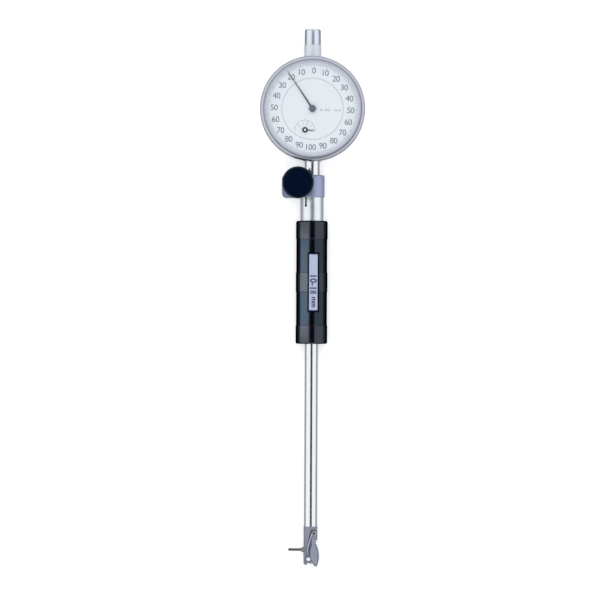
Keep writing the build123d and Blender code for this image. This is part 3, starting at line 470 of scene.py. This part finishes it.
def make_materials():
    """One material for each slot of the record, and the inks."""
    return {
        "satin_steel": metal("satin_steel", (0.57, 0.59, 0.685), 0.37, spread=0.04, scale=6000.0,
                             depth=0.003),
        "case_steel": metal("case_steel", (0.88, 0.92, 1.0), 0.66, spread=0.04, scale=5000.0, depth=0.003),
        "turned_steel": turned_material("turned_steel", (0.66, 0.69, 0.78), 0.36, "back_cover"),
        "dull_steel": metal("dull_steel", (0.47, 0.53, 0.73), 0.6, spread=0.05, scale=5000.0, depth=0.004),
        "polished_steel": metal("polished_steel", (0.89, 0.91, 0.93), 0.17, spread=0.02, rough_spread=0.03,
                                scale=3000.0, stretch=ALONG),
        "brushed_steel": metal("brushed_steel", (0.78, 0.82, 0.94), 0.32, spread=0.03, rough_spread=0.04,
                               scale=5000.0, stretch=ACROSS, depth=0.002, edge=CAP_EDGE),
        # holder steel with painted shade in its bore and slit
        "holder_steel": bored_material("holder_steel", (0.87, 0.93, 1.0), 0.34, "holder"),
        "head_steel": metal("head_steel", (0.42, 0.425, 0.51), 0.7, spread=0.2, scale=900.0,
                            stretch=GROUND, depth=0.006),
        "pin_steel": metal("pin_steel", (0.17, 0.175, 0.21), 0.5, spread=0.15),
        "plate_steel": surface("plate_steel", (0.8, 0.83, 0.88), 0.6, scale=3000.0),
        # leaf steel, with painted shade on its bevels and flanks
        "leaf_steel": ground_material("leaf_steel", (0.47, 0.51, 0.63), (0.25, 0.26, 0.32)),
        "wire_steel": metal("wire_steel", (0.62, 0.68, 0.80), 0.3),
        "dark_steel": metal("dark_steel", (0.26, 0.27, 0.285), 0.35, spread=0.15, edge=DARK_EDGE),
        "carbide": metal("carbide", (0.16, 0.165, 0.18), 0.3, scale=6000.0),
        "inner_steel": metal("inner_steel", (0.62, 0.63, 0.67), 0.3, scale=4000.0),
        "brass": metal("brass", (0.72, 0.53, 0.22), 0.3, scale=3000.0),
        "dial_white": surface("dial_white", (0.90, 0.95, 1.0), 0.55, spread=0.01, scale=6000.0, depth=0.002),
        "pointer_dark": surface("pointer_dark", (0.06, 0.066, 0.085), 0.4, spread=0.2, scale=4000.0),
        "hub_grey": surface("hub_grey", (0.15, 0.16, 0.2), 0.45, spread=0.12, scale=4000.0),
        "crystal": clear_material("crystal"),
        "grip_black": grip_material("grip_black", (0.056, 0.062, 0.078), (0.034, 0.048, 0.064)),
        "knob_black": knob_material("knob_black", (0.0001, 0.0045, 0.019)),
        "label_metal": surface("label_metal", (0.52, 0.59, 0.8), 0.5, spread=0.03, metallic=0.3, scale=3000.0,
                               stretch=PLATE_GRAIN),
        "ink": surface("ink", (0.17, 0.18, 0.22), 0.6, spread=0.15, scale=3000.0),
        "tick_ink": surface("tick_ink", (0.52, 0.55, 0.61), 0.6, spread=0.1, scale=3000.0),
        "plate_ink": surface("plate_ink", (0.022, 0.026, 0.07), 0.5, spread=0.2, scale=3000.0),
    }


def dress_nodes():
    """Give every solid its own finish, or else the material of its slot."""
    for row in frame["record"]["subparts"]:
        solid = frame["nodes"][row["node"]]
        solid.data.materials.clear()
        finish = NODE_FINISH.get(row["node"], row["material_slot"])
        solid.data.materials.append(MATERIALS[finish])


def add_piece(name, mesh, body, material, replaced=()):
    """New piece that rides on a body and takes a given finish from the materials."""
    piece = bpy.data.objects.new(name, mesh)
    bpy.context.scene.collection.objects.link(piece)
    mesh.materials.clear()
    mesh.materials.append(MATERIALS[material])
    for polygon in mesh.polygons:
        polygon.use_smooth = True
    mesh.set_sharp_from_angle(angle=math.radians(SHARP_ANGLE))
    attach(piece, body)
    if replaced:
        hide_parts(*replaced)


def mesh_of(name, shape):
    """Mesh from a finished bmesh, its split points joined."""
    bmesh.ops.remove_doubles(shape, verts=shape.verts, dist=JOIN_REACH * MM)
    bmesh.ops.recalc_face_normals(shape, faces=shape.faces)
    mesh = bpy.data.meshes.new(name)
    shape.to_mesh(mesh)
    shape.free()
    return mesh


def join_rings(shape, rings, closed=False):
    """Faces between rings of points, with ends unless the last ring meets the first."""
    pairs = list(zip(rings, rings[1:]))
    if closed:
        pairs.append((rings[-1], rings[0]))
    for ring, other in pairs:
        for j in range(len(ring)):
            k = (j + 1) % len(ring)
            shape.faces.new((ring[j], other[j], other[k], ring[k]))
    if not closed:
        shape.faces.new(rings[0])
        shape.faces.new(list(reversed(rings[-1])))


def rounded(corners):
    """Profile points from corners of radius, height and rounding."""
    points = []
    count = len(corners)
    for i, (radius, height, size) in enumerate(corners):
        here = Vector((radius, height))
        if not size:
            points.append(here)
            continue
        before = (Vector(corners[i - 1][:2]) - here).normalized()
        after = (Vector(corners[(i + 1) % count][:2]) - here).normalized()
        half = before.angle(after) / 2
        reach = size / math.tan(half)
        centre = here + (before + after).normalized() * (size / math.sin(half))
        start = here + before * reach - centre
        turn = start.angle_signed(here + after * reach - centre)
        for step in range(ROUND_STEPS + 1):
            points.append(centre + Matrix.Rotation(-turn * step / ROUND_STEPS, 2) @ start)
    return points


def lathe(name, corners, origin, axis, segments=SEGMENTS):
    """Closed piece turned about an axis through a point, sizes in millimetres."""
    profile = rounded(corners)
    aim = Vector(UP).rotation_difference(Vector(axis)).to_matrix().to_4x4()
    place = Matrix.Translation(origin) @ aim
    shape = bmesh.new()
    rings = []
    for i in range(segments):
        angle = 2 * math.pi * i / segments
        ring = []
        for point in profile:
            spot = Vector((point.x * math.cos(angle), point.x * math.sin(angle), point.y)) * MM
            ring.append(shape.verts.new(place @ spot))
        rings.append(ring)
    join_rings(shape, rings, closed=True)
    return mesh_of(name, shape)


def add_box(shape, centre, size, turn):
    """Box in a bmesh, turned about the vertical."""
    place = Matrix.Translation(centre) @ Matrix.Rotation(turn, 4, "Z") @ Matrix.Diagonal((*size, 1))
    bmesh.ops.create_cube(shape, size=1.0, matrix=place)


def text_mesh(words, height, stroke, spacing):
    """Flat raised lettering of a given height, centred on its own box."""
    curve = bpy.data.curves.new("lettering", "FONT")
    curve.body = words
    curve.extrude = PRINT_THICK * MM / 2
    curve.space_character = spacing
    curve.size = 1.0
    letters = bpy.data.objects.new("lettering", curve)
    bpy.context.scene.collection.objects.link(letters)
    bpy.context.view_layer.update()
    sample = bpy.data.meshes.new_from_object(letters)
    tall = max(v.co.y for v in sample.vertices) - min(v.co.y for v in sample.vertices)
    bpy.data.meshes.remove(sample)
    curve.size = height * MM / tall
    curve.offset = stroke * MM
    bpy.context.view_layer.update()
    mesh = bpy.data.meshes.new_from_object(letters)
    bpy.data.objects.remove(letters)
    bpy.data.curves.remove(curve)
    xs = [v.co.x for v in mesh.vertices]
    ys = [v.co.y for v in mesh.vertices]
    mesh.transform(Matrix.Translation((-(min(xs) + max(xs)) / 2, -(min(ys) + max(ys)) / 2, 0)))
    return mesh


def add_text(shape, words, height, place, stroke=0.0, spacing=1.0):
    """Lettering put into a bmesh at a place."""
    mesh = text_mesh(words, height, stroke, spacing)
    mesh.transform(place)
    shape.from_mesh(mesh)
    bpy.data.meshes.remove(mesh)


def print_height(node):
    """Height of the middle of the ink on a dial."""
    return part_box(node)[1].z + (PRINT_LIFT + PRINT_THICK / 2) * MM


def tick_size(count):
    """Length and width of a tick by its count from zero."""
    if count % 10 == 0:
        return TICK_TEN, TICK_WIDE
    if count % 5 == 0:
        return TICK_FIVE, TICK_WIDE
    return TICK_SHORT, TICK_WIDTH


def scale_ticks():
    """Ticks of the scale that turns with the bezel."""
    centre = middle("scale_ring")
    centre.z = print_height("scale_ring")
    start = math.radians(90 + SCALE_TURN)
    ticks = bmesh.new()
    for i in range(DIVISIONS):
        angle = start - 2 * math.pi * i / DIVISIONS
        length, width = tick_size(i)
        radius = (TICK_OUTER - length / 2) * MM
        spot = centre + Vector((math.cos(angle), math.sin(angle), 0)) * radius
        add_box(ticks, spot, (length * MM, width * MM, PRINT_THICK * MM), angle)
    add_piece("scale_ticks", mesh_of("scale_ticks", ticks), "rim", "tick_ink")


def scale_numbers():
    """Numbers of the scale, counted from zero down both sides."""
    centre = middle("scale_ring")
    centre.z = print_height("scale_ring")
    start = math.radians(90 + SCALE_TURN)
    numbers = bmesh.new()
    for i in range(2 * SIDE_NUMBERS):
        angle = start - math.pi * i / SIDE_NUMBERS
        value = NUMBER_STEP * (SIDE_NUMBERS - abs(i - SIDE_NUMBERS))
        spot = centre + Vector((math.cos(angle), math.sin(angle), 0)) * NUMBER_RADIUS * MM
        place = Matrix.Translation(spot) @ Matrix.Rotation(math.radians(SCALE_TURN), 4, "Z")
        add_text(numbers, str(value), NUMBER_HEIGHT, place, spacing=NUMBER_SPACING)
    add_piece("scale_numbers", mesh_of("scale_numbers", numbers), "rim", "ink")


def ring_line(shape, centre, radius, width, first, last):
    """Printed arc as a thin closed strip."""
    half = PRINT_THICK * MM / 2
    inner = (radius - width / 2) * MM
    outer = (radius + width / 2) * MM
    low = Vector((0, 0, -half))
    rings = []
    for i in range(ARC_STEPS + 1):
        angle = math.radians(first + (last - first) * i / ARC_STEPS)
        way = Vector((math.cos(angle), math.sin(angle), 0))
        spots = (way * inner + low, way * outer + low, way * outer - low, way * inner - low)
        rings.append([shape.verts.new(centre + spot) for spot in spots])
    join_rings(shape, rings)


def dial_print():
    """Counter scale and unit on the fixed middle of the dial."""
    dial = middle("inner_dial")
    dial.z = print_height("inner_dial")
    arbor = middle("counter_pinion")
    arbor.z = dial.z
    shape = bmesh.new()
    last = COUNTER_STEP * (COUNTER_MARKS - 1)
    ring_line(shape, arbor, COUNTER_RADIUS, COUNTER_LINE, 0, last)
    for i in range(COUNTER_MARKS):
        angle = math.radians(COUNTER_STEP * i)
        way = Vector((math.cos(angle), math.sin(angle), 0))
        spot = arbor + way * (COUNTER_RADIUS - COUNTER_TICK / 2) * MM
        add_box(shape, spot, (COUNTER_TICK * MM, TICK_WIDTH * MM, PRINT_THICK * MM), angle)
        number = Matrix.Translation(arbor + way * COUNTER_NUMBER_RADIUS * MM)
        if 0 < i < COUNTER_MARKS - 1:
            add_text(shape, str(i), COUNTER_NUMBER_HEIGHT, number)
    unit = Matrix.Translation(dial + Vector((UNIT_X, UNIT_Y, 0)) * MM)
    add_text(shape, UNIT_TEXT, UNIT_HEIGHT, unit, spacing=UNIT_SPACING)
    add_piece("dial_print", mesh_of("dial_print", shape), "gauge", "ink")


def plate_frame(shape, place, length, width):
    """Dark printed frame along the edges of the plate, as one closed ring."""
    rise = Vector((0, 0, PRINT_THICK / 2))
    rings = []
    for way_x, way_y in ((-1, -1), (1, -1), (1, 1), (-1, 1)):
        outer = Vector((way_x * length / 2, way_y * width / 2, 0))
        inner = outer - Vector((way_x * FRAME_END, way_y * FRAME_SIDE, 0))
        spots = (outer - rise, outer + rise, inner + rise, inner - rise)
        rings.append([shape.verts.new(place @ (spot * MM)) for spot in spots])
    join_rings(shape, rings, closed=True)


def plate_place():
    """Middle of the ink on the plate's face, turned so that words read from the top down."""
    solid = frame["nodes"]["range_plate"]
    top = max(solid.data.polygons, key=lambda polygon: polygon.normal.z)
    tilt = Vector(UP).rotation_difference(top.normal).to_matrix().to_4x4()
    face = middle("range_plate")
    face += top.normal * (top.center - face).dot(top.normal)
    face += top.normal * (PRINT_LIFT + PRINT_THICK / 2) * MM
    return Matrix.Translation(face) @ tilt @ Matrix.Rotation(-math.pi / 2, 4, "Z")


def plate_print():
    """Measuring range and frame on the plate of the grip, with the 8 made of two rings."""
    low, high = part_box("range_plate")
    place = plate_place()
    shape = bmesh.new()
    plate_frame(shape, place, (high.y - low.y) / MM, (high.x - low.x) / MM)
    spot = Matrix.Translation((RANGE_DOWN * MM, 0, 0))
    add_text(shape, RANGE_TEXT, RANGE_HEIGHT, place @ spot, RANGE_STROKE)
    for height, above in EIGHT_RINGS:
        spot = Matrix.Translation((EIGHT_DOWN * MM, above * MM, EIGHT_STEP * above * MM))
        add_text(shape, "o", height - 2 * RANGE_STROKE, place @ spot, RANGE_STROKE)
    spot = Matrix.Translation((RANGE_UNIT_DOWN * MM, 0, 0))
    add_text(shape, RANGE_UNIT, RANGE_UNIT_HEIGHT, place @ spot, RANGE_STROKE)
    add_piece("plate_print", mesh_of("plate_print", shape), "gauge", "plate_ink")


def threaded_anvil():
    """Anvil with its thread as real ridges."""
    low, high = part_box("anvil")
    axis = middle("anvil")
    radius = (high.y - low.y) / 2
    turns = (high.x - low.x) / (THREAD_PITCH * MM)
    rows = int(turns * THREAD_STEPS)
    shape = bmesh.new()
    rings = []
    for i in range(rows + 1):
        x = low.x + (high.x - low.x) * i / rows
        ring = []
        for j in range(THREAD_STEPS):
            angle = 2 * math.pi * j / THREAD_STEPS
            phase = (i - j) / THREAD_STEPS % 1.0
            reach = radius + (THREAD_PROUD - THREAD_DEPTH * abs(2 * phase - 1)) * MM
            spot = Vector((x, axis.y + reach * math.cos(angle), axis.z + reach * math.sin(angle)))
            ring.append(shape.verts.new(spot))
        rings.append(ring)
    join_rings(shape, rings)
    add_piece("anvil_thread", mesh_of("anvil_thread", shape), "gauge", "dark_steel", ["anvil"])


def rounded_knob():
    """Clamp knob with soft edges."""
    low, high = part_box("clamp_knob")
    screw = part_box("clamp_screw")
    spot = middle("clamp_knob")
    spot.z = low.z
    radius = (high.x - low.x) / 2 / MM
    tall = (high.z - low.z) / MM
    bore = (screw[1].x - screw[0].x) / 2 / MM
    depth = (screw[1].z - low.z) / MM
    corners = [
        (bore, 0, 0), (KNOB_NECK_R, 0, KNOB_NECK_ROUND), (KNOB_NECK_R, KNOB_NECK, 0),
        (radius, KNOB_NECK, KNOB_LOW_ROUND), (radius, tall, KNOB_TOP_ROUND), (0, tall, 0),
        (0, depth, 0), (bore, depth, 0)]
    mesh = lathe("knob", corners, spot, UP)
    add_piece("knob", mesh, "knob", "knob_black", ["clamp_knob"])


def turned_bezel():
    """Bezel with soft edges."""
    low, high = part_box("bezel")
    glass_low, glass_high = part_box("crystal")
    scale_low, scale_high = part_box("scale_ring")
    spot = middle("bezel")
    spot.z = 0
    outer = (high.x - low.x) / 2 / MM
    glass = (glass_high.x - glass_low.x) / 2 / MM
    scale = (scale_high.x - scale_low.x) / 2 / MM
    opening = glass - BEZEL_LIP
    front = high.z / MM
    corners = [
        (scale - BEZEL_NECK, low.z / MM, 0), (outer, low.z / MM, BEZEL_ROUND),
        (outer, front, BEZEL_SHOULDER), (opening + BEZEL_BEVEL, front, BEZEL_CREST),
        (opening, front - BEZEL_BEVEL, 0),
        (opening, glass_high.z / MM, 0), (glass, glass_high.z / MM, 0), (glass, glass_low.z / MM, 0),
        (scale, glass_low.z / MM, 0), (scale, scale_low.z / MM, 0), (scale - BEZEL_NECK, scale_low.z / MM, 0)]
    mesh = lathe("bezel_rim", corners, spot, UP)
    add_piece("bezel_rim", mesh, "rim", "satin_steel", ["bezel"])


def rounded_cap():
    """Spindle cap with a rounded end."""
    low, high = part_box("spindle_cap")
    bush_low, bush_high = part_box("upper_bush")
    spot = middle("spindle_cap")
    spot.y = low.y
    radius = (high.x - low.x) / 2 / MM
    length = (high.y - low.y) / MM
    bush = (bush_high.x - bush_low.x) / 2 / MM
    seat = (bush_high.y - low.y) / MM
    corners = [
        (bush, 0, 0), (radius, 0, CAP_FOOT_ROUND), (radius, length, CAP_ROUND), (0, length, 0),
        (0, length - CAP_WALL, 0), (CAP_BORE, length - CAP_WALL, 0), (CAP_BORE, seat, 0), (bush, seat, 0)]
    mesh = lathe("cap", corners, spot, (0, 1, 0))
    add_piece("cap", mesh, "gauge", "brushed_steel", ["spindle_cap"])


def cut(mesh, tool):
    """Mesh with a second mesh taken away from it."""
    host = bpy.data.objects.new("host", mesh)
    cutter = bpy.data.objects.new("cutter", tool)
    for helper in (host, cutter):
        bpy.context.scene.collection.objects.link(helper)
    taken = host.modifiers.new("cut", "BOOLEAN")
    taken.operation = "DIFFERENCE"
    taken.object = cutter
    bpy.context.view_layer.update()
    result = bpy.data.meshes.new_from_object(host.evaluated_get(bpy.context.evaluated_depsgraph_get()))
    for helper in (host, cutter):
        bpy.data.objects.remove(helper)
    return result


def slotted_screw(spot, length, turn):
    """Countersunk screw with a slot in its head, rising from a spot on the back."""
    head = SCREW_HEAD_D / 2
    shank = SCREW_D / 2
    corners = [(0, 0, 0), (head, 0, 0), (shank, head - shank, 0), (shank, length, 0), (0, length, 0)]
    slot = bmesh.new()
    add_box(slot, spot, (2 * SCREW_HEAD_D * MM, SLOT_WIDTH * MM, 2 * SLOT_DEPTH * MM), math.radians(turn))
    return cut(lathe("screw", corners, spot, UP, SCREW_SEGMENTS), mesh_of("slot", slot))


def slotted_screws():
    """Screws of the back cover with their slots."""
    low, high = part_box("back_cover_screws")
    inset = SCREW_HEAD_D / 2 * MM
    places = [(x, y) for x in (low.x + inset, high.x - inset) for y in (low.y + inset, high.y - inset)]
    shape = bmesh.new()
    for (x, y), turn in zip(places, SLOT_TURNS):
        mesh = slotted_screw(Vector((x, y, low.z)), (high.z - low.z) / MM, turn)
        shape.from_mesh(mesh)
        bpy.data.meshes.remove(mesh)
    mesh = mesh_of("cover_screws", shape)
    add_piece("cover_screws", mesh, "gauge", "inner_steel", ["back_cover_screws"])


def low_cap(name, spot, radius):
    """Low turned cap with a soft edge on a spot."""
    corners = [(0, 0, 0), (radius, 0, 0), (radius, HUB_CAP_HEIGHT, HUB_CAP_ROUND), (0, HUB_CAP_HEIGHT, 0)]
    return lathe(name, corners, spot, UP)


def hub_cap():
    """Low cap on the hub of the main pointer."""
    spot = middle("inner_dial")
    spot.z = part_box("centre_pinion")[1].z
    mesh = low_cap("hub_cap", spot, HUB_D / 2 - HUB_CAP_INSET)
    add_piece("hub_cap", mesh, "pointer", "hub_grey")


def counter_cap():
    """Pale end of the counter's arbor in the middle of its hub."""
    spot = middle("counter_pinion")
    spot.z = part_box("counter_pinion")[1].z
    mesh = low_cap("counter_cap", spot, COUNTER_CAP_D / 2)
    add_piece("counter_cap", mesh, "counter", "dial_white")


def wire_path():
    """Points of the guide spring from its coil down to its pin."""
    pivot = middle("guide_pin")
    pin_low, pin_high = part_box("spring_pin")
    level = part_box("guide_spring")[0].z + WIRE_D * MM / 2
    axis_y = middle("anvil").y
    radius = WIRE_COIL_D * MM / 2
    points = []
    for i in range(WIRE_STEPS + 1):
        angle = math.pi - 2 * math.pi * (1 - i / WIRE_STEPS)
        x = pivot.x + radius * math.cos(angle)
        y = pivot.y + radius * math.sin(angle)
        points.append(Vector((x, y, level)))
    leg_x = pin_high.x + (WIRE_D / 2 + WIRE_GAP) * MM
    leg_y = (pin_low.y + pin_high.y) / 2 - WIRE_END_DROP * MM
    knee = Vector((WIRE_KNEE[0] * MM, axis_y + WIRE_KNEE[1] * MM, level))
    end = Vector((leg_x, leg_y, level))
    start = points.pop()
    bend = knee * 2 - (start + end) / 2
    for i in range(WIRE_STEPS + 1):
        t = i / WIRE_STEPS
        points.append(start * (1 - t) ** 2 + bend * 2 * t * (1 - t) + end * t ** 2)
    return points


def tube(name, points, radius):
    """Closed round tube along points at one level."""
    shape = bmesh.new()
    rings = []
    last = len(points) - 1
    for i, point in enumerate(points):
        way = (points[min(i + 1, last)] - points[max(i - 1, 0)]).normalized()
        side = way.cross(Vector(UP))
        ring = []
        for j in range(WIRE_SIDES):
            angle = 2 * math.pi * j / WIRE_SIDES
            spot = point + (side * math.cos(angle) + Vector((0, 0, math.sin(angle)))) * radius
            ring.append(shape.verts.new(spot))
        rings.append(ring)
    join_rings(shape, rings)
    return mesh_of(name, shape)


def round_spring():
    """Guide spring as a round wire."""
    mesh = tube("spring_wire", wire_path(), WIRE_D * MM / 2)
    add_piece("spring_wire", mesh, "gauge", "wire_steel", ["guide_spring"])


def strength_by_ray(tree, light, seen):
    """One strength as light, another where it is seen directly, in gloss or through clear pieces."""
    path = tree.nodes.new("ShaderNodeLightPath")
    glossy = tree.nodes.new("ShaderNodeMath")
    glossy.operation = "MAXIMUM"
    clear = tree.nodes.new("ShaderNodeMath")
    clear.operation = "MAXIMUM"
    ranged = tree.nodes.new("ShaderNodeMapRange")
    ranged.inputs["To Min"].default_value = light
    ranged.inputs["To Max"].default_value = seen
    tree.links.new(path.outputs["Is Camera Ray"], glossy.inputs[0])
    tree.links.new(path.outputs["Is Glossy Ray"], glossy.inputs[1])
    tree.links.new(glossy.outputs[0], clear.inputs[0])
    tree.links.new(path.outputs["Is Transmission Ray"], clear.inputs[1])
    tree.links.new(clear.outputs[0], ranged.inputs["Value"])
    return ranged.outputs["Result"]


def plane(name, centre, size, material):
    """Flat stage piece."""
    mesh = bpy.data.meshes.new(name)
    x = size[0] / 2
    y = size[1] / 2
    mesh.from_pydata([(-x, -y, 0), (x, -y, 0), (x, y, 0), (-x, y, 0)], [], [(0, 1, 2, 3)])
    mesh.materials.append(material)
    piece = bpy.data.objects.new(name, mesh)
    piece.location = centre
    bpy.context.scene.collection.objects.link(piece)
    return piece


def only_in_gloss(piece):
    """Let a stage piece show in reflections alone."""
    piece.visible_camera = False
    piece.visible_diffuse = False
    piece.visible_shadow = False
    piece.visible_transmission = False


def card(name, centre, size, colour):
    """Dark card that shows in reflections alone."""
    material = new_material(name)
    shader = nodes_of(material)[1]
    shader.inputs["Base Color"].default_value = (*colour, 1)
    shader.inputs["Specular IOR Level"].default_value = 0.0
    only_in_gloss(plane(name, centre, size, material))


def area_lamp(name, place, target, size, watts):
    """Soft lamp aimed at a point."""
    lamp = bpy.data.lights.new(name, "AREA")
    lamp.shape = "RECTANGLE"
    lamp.size, lamp.size_y = size
    lamp.energy = watts
    piece = bpy.data.objects.new(name, lamp)
    piece.location = place
    aim = Vector(target) - Vector(place)
    piece.rotation_euler = aim.to_track_quat("-Z", "Y").to_euler()
    piece.visible_camera = False
    bpy.context.scene.collection.objects.link(piece)
    return piece


def floor():
    """White floor that takes the shadow."""
    material = new_material("floor")
    tree, shader = nodes_of(material)
    shader.inputs["Base Color"].default_value = (*FLOOR_COLOUR, 1)
    shader.inputs["Roughness"].default_value = FLOOR_ROUGHNESS
    shader.inputs["Specular IOR Level"].default_value = 0.0
    shader.inputs["Emission Color"].default_value = (1, 1, 1, 1)
    tree.links.new(strength_by_ray(tree, 0.0, FLOOR_GLOW), shader.inputs["Emission Strength"])
    plane("floor", (0, 0, -FLOOR_DROP), (FLOOR_SIZE, FLOOR_SIZE), material)


def cards():
    """Dark strip overhead and grey cards on the floor for the gloss of the metal."""
    strip_y = (STRIP_START + STRIP_END) / 2
    strip_size = (STRIP_WIDTH, STRIP_END - STRIP_START)
    card("strip", (STRIP_X, strip_y, STRIP_HEIGHT), strip_size, STRIP_COLOUR)
    reach = CARD_FAR - CARD_NEAR
    for name, side in (("left_card", -1), ("right_card", 1)):
        spot = (side * (CARD_NEAR + reach / 2), 0, CARD_LIFT)
        card(name, spot, (reach, CARD_LENGTH), CARD_COLOUR)


def surroundings():
    """Bright white world."""
    world = bpy.data.worlds.new("studio")
    bpy.context.scene.world = world
    world.use_nodes = True
    tree = world.node_tree
    background = tree.nodes["Background"]
    background.inputs["Color"].default_value = (1, 1, 1, 1)
    strength = strength_by_ray(tree, WORLD_LIGHT, WORLD_GLOW)
    tree.links.new(strength, background.inputs["Strength"])


def lamps():
    """Soft lamp overhead, and a small one for the sheen of the grip alone."""
    top = area_lamp("top_lamp", TOP_PLACE, (0, 0, 0), TOP_SIZE, TOP_WATTS)
    top.data.color = TOP_COLOUR
    top.visible_glossy = False
    grip = middle("grip")
    place = (GRIP_LAMP_X, grip.y, GRIP_LAMP_Z)
    side = area_lamp("grip_lamp", place, grip, GRIP_LAMP_SIZE, GRIP_LAMP_WATTS)
    side.visible_diffuse = False
    lit = bpy.data.collections.new("lit_by_grip_lamp")
    lit.objects.link(frame["nodes"]["grip"])
    side.light_linking.receiver_collection = lit


def camera():
    """Camera that looks straight down on the lying gauge."""
    lens = bpy.data.cameras.new("camera")
    lens.sensor_width = SENSOR
    lens.lens = SENSOR * CAMERA_HEIGHT / IMAGE_WIDTH
    piece = bpy.data.objects.new("camera", lens)
    axis_z = middle("lower_tube").z
    piece.location = (CAMERA_X * MM, CAMERA_Y * MM, axis_z + CAMERA_HEIGHT * MM)
    piece.rotation_euler = (0, 0, math.radians(CAMERA_ROLL))
    bpy.context.scene.collection.objects.link(piece)
    bpy.context.scene.camera = piece


MATERIALS = make_materials()
dress_nodes()
scale_ticks()
scale_numbers()
dial_print()
plate_print()
threaded_anvil()
rounded_knob()
turned_bezel()
rounded_cap()
slotted_screws()
hub_cap()
counter_cap()
round_spring()
floor()
cards()
surroundings()
lamps()
camera()
bpy.context.scene.view_settings.view_transform = "Standard"
